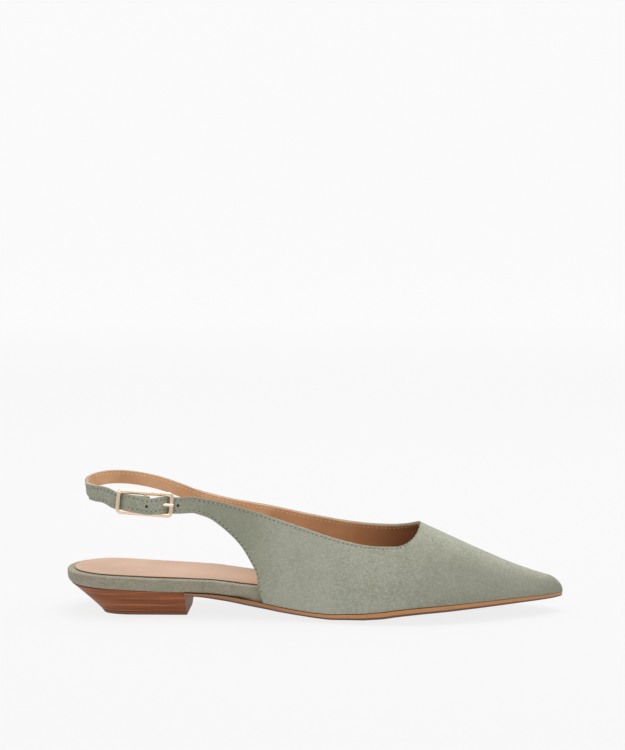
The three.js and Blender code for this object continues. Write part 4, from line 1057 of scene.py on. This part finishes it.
def frame_tube():
    """The frame's bars as one closed tube round four corners."""
    turn = (np.arange(4)[:, None] * math.pi / 2 + np.linspace(0, math.pi / 2, 9)).ravel()
    turn = np.append(turn, turn[0])
    corner = np.array([FRAME_LENGTH - BAR, FRAME_WIDTH - BAR]) / 2 - FRAME_CORNER
    corners = np.repeat([[1, 1], [-1, 1], [-1, -1], [1, -1]], 9, 0) * corner
    along, across = (np.vstack([corners, corners[:1]]) + circle(turn, *np.eye(2)) * FRAME_CORNER).T
    outwards = circle(turn, along_buckle, across_buckle)
    return bar_ring(at_buckle(along, 0, across), outwards, out_buckle, BAR, FRAME_THICK, 2.6)


def closed_tube(centres, side_way, up, width, thick):
    """Round tube along a straight line with round ends."""
    tube = bar_ring(centres, side_way, up, width, thick, 2)
    ahead = unit(centres[-1] - centres[0]) * thick / 2
    turns = np.linspace(math.pi / 2 - 1e-3, 0, 5)[:-1]
    start = [centres[0] + (tube[0] - centres[0]) * math.cos(a) - ahead * math.sin(a) for a in turns]
    end = [centres[-1] + (tube[-1] - centres[-1]) * math.cos(a) + ahead * math.sin(a) for a in turns]
    return np.concatenate([start, tube, end[::-1]])


pivot = at_buckle(0, 0, np.linspace(-(FRAME_WIDTH - BAR) / 2, (FRAME_WIDTH - BAR) / 2, 12))
pivot = closed_tube(pivot, along_buckle, out_buckle, PIVOT, PIVOT)
buckle_frame = piece("buckle_frame_plate", [(frame_tube(), 0, {}), (pivot, 0, {})], [rose_gold])
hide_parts("buckle_frame")

# the pin's eye turns on the centre bar, and its tip rests on the end bar
turn = np.linspace(0, 2 * math.pi, 29)
EYE, PIN_START = PIVOT / 2 + CLEARANCE + PRONG / 4, 1.1
eye = at_buckle(EYE * np.cos(turn), EYE * np.sin(turn))
eye = bar_ring(eye, circle(turn, along_buckle, out_buckle), across_buckle, PRONG / 2, PRONG, 2.4)
tip = [END_BAR + 0.4 * BAR, FRAME_THICK / 2 + CLEARANCE + PRONG / 2]
pin = at_buckle(*np.linspace([PIN_START, PIN_START], tip, 30).T)
pin = closed_tube(pin, across_buckle, out_buckle, PRONG, PRONG * 0.9)
buckle_pin = piece("buckle_pin_plate", [(eye, 0, {}), (pin, 0, {})], [rose_gold])
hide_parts("buckle_prong")

# Studio
# A lit white table that runs up into a backdrop, an even white room and two large soft lamps, so the
# shadows under the shoe stay faint. Sizes in metres.
TABLE_FRONT, TABLE_BACK, TABLE_HALF, BACKDROP, UNDER_SHOE = -4, 3, 5, 5, 0.0001
# the table shines by itself, a little less in front, and takes the shoe's faint shadow
white, tree, shader = material("lit_white_table", base_color=[0.08, 0.08, 0.08, 1], roughness=1.0,
                               specular_ior_level=0, emission_color=[1, 1, 1, 1])
shine = ranged(tree, along_axis(tree, "Y"), -300, 3000, 0.826, 0.9)
tree.links.new(shine, shader.inputs["Emission Strength"])
bend = np.linspace(0, math.pi / 2, 16)
bend = np.column_stack([TABLE_BACK + np.sin(bend), 1 - np.cos(bend)])
profile = np.vstack([[[TABLE_FRONT, 0]], bend, [[TABLE_BACK + 1, BACKDROP]]])
verts = [(x, y, z - UNDER_SHOE) for x in (-TABLE_HALF, TABLE_HALF) for y, z in profile]
n = len(profile)
floor_mesh = bpy.data.meshes.new("table")
floor_mesh.from_pydata(verts, [], [(i, n + i, n + i + 1, i + 1) for i in range(n - 1)])
floor_mesh.polygons.foreach_set("use_smooth", [True] * (n - 1))
floor_mesh.materials.append(white)
floor = bpy.data.objects.new("table", floor_mesh)
bpy.context.scene.collection.objects.link(floor)

world = bpy.data.worlds.new("even_white_room")
world.use_nodes = True
light = world.node_tree.nodes["Background"].inputs
light["Color"].default_value = [1, 1, 1, 1]
light["Strength"].default_value = 0.62
bpy.context.scene.world = world


def lamp(name, place, target, size, power):
    """A square soft lamp that faces a point."""
    data = bpy.data.lights.new(name, "AREA")
    data.size, data.energy = size, power
    made = bpy.data.objects.new(name, data)
    made.location = place
    made.rotation_euler = (Vector(target) - Vector(place)).to_track_quat("-Z", "Y").to_euler()
    bpy.context.scene.collection.objects.link(made)


lamp("top_softbox", (0.1, 0.15, 1.3), (0, 0, 0.03), 1.2, 17)
lamp("front_softbox", (-0.6, -1.4, 0.9), (0, 0, 0.03), 0.9, 4)

# the camera stands about a metre off, as found from the photo's outline
camera_data = bpy.data.cameras.new("camera")
camera_data.lens = 87.65
camera = bpy.data.objects.new("camera", camera_data)
bpy.context.scene.collection.objects.link(camera)
turned, down = math.radians(2.07), math.radians(4.87)
camera.location = (0.0343, -0.9821, 0.2122)
looks = Vector((-math.sin(turned) * math.cos(down), math.cos(turned) * math.cos(down), -math.sin(down)))
camera.rotation_euler = looks.to_track_quat("-Z", "Y").to_euler()
bpy.context.scene.camera = camera
bpy.context.scene.view_settings.view_transform = "Standard"
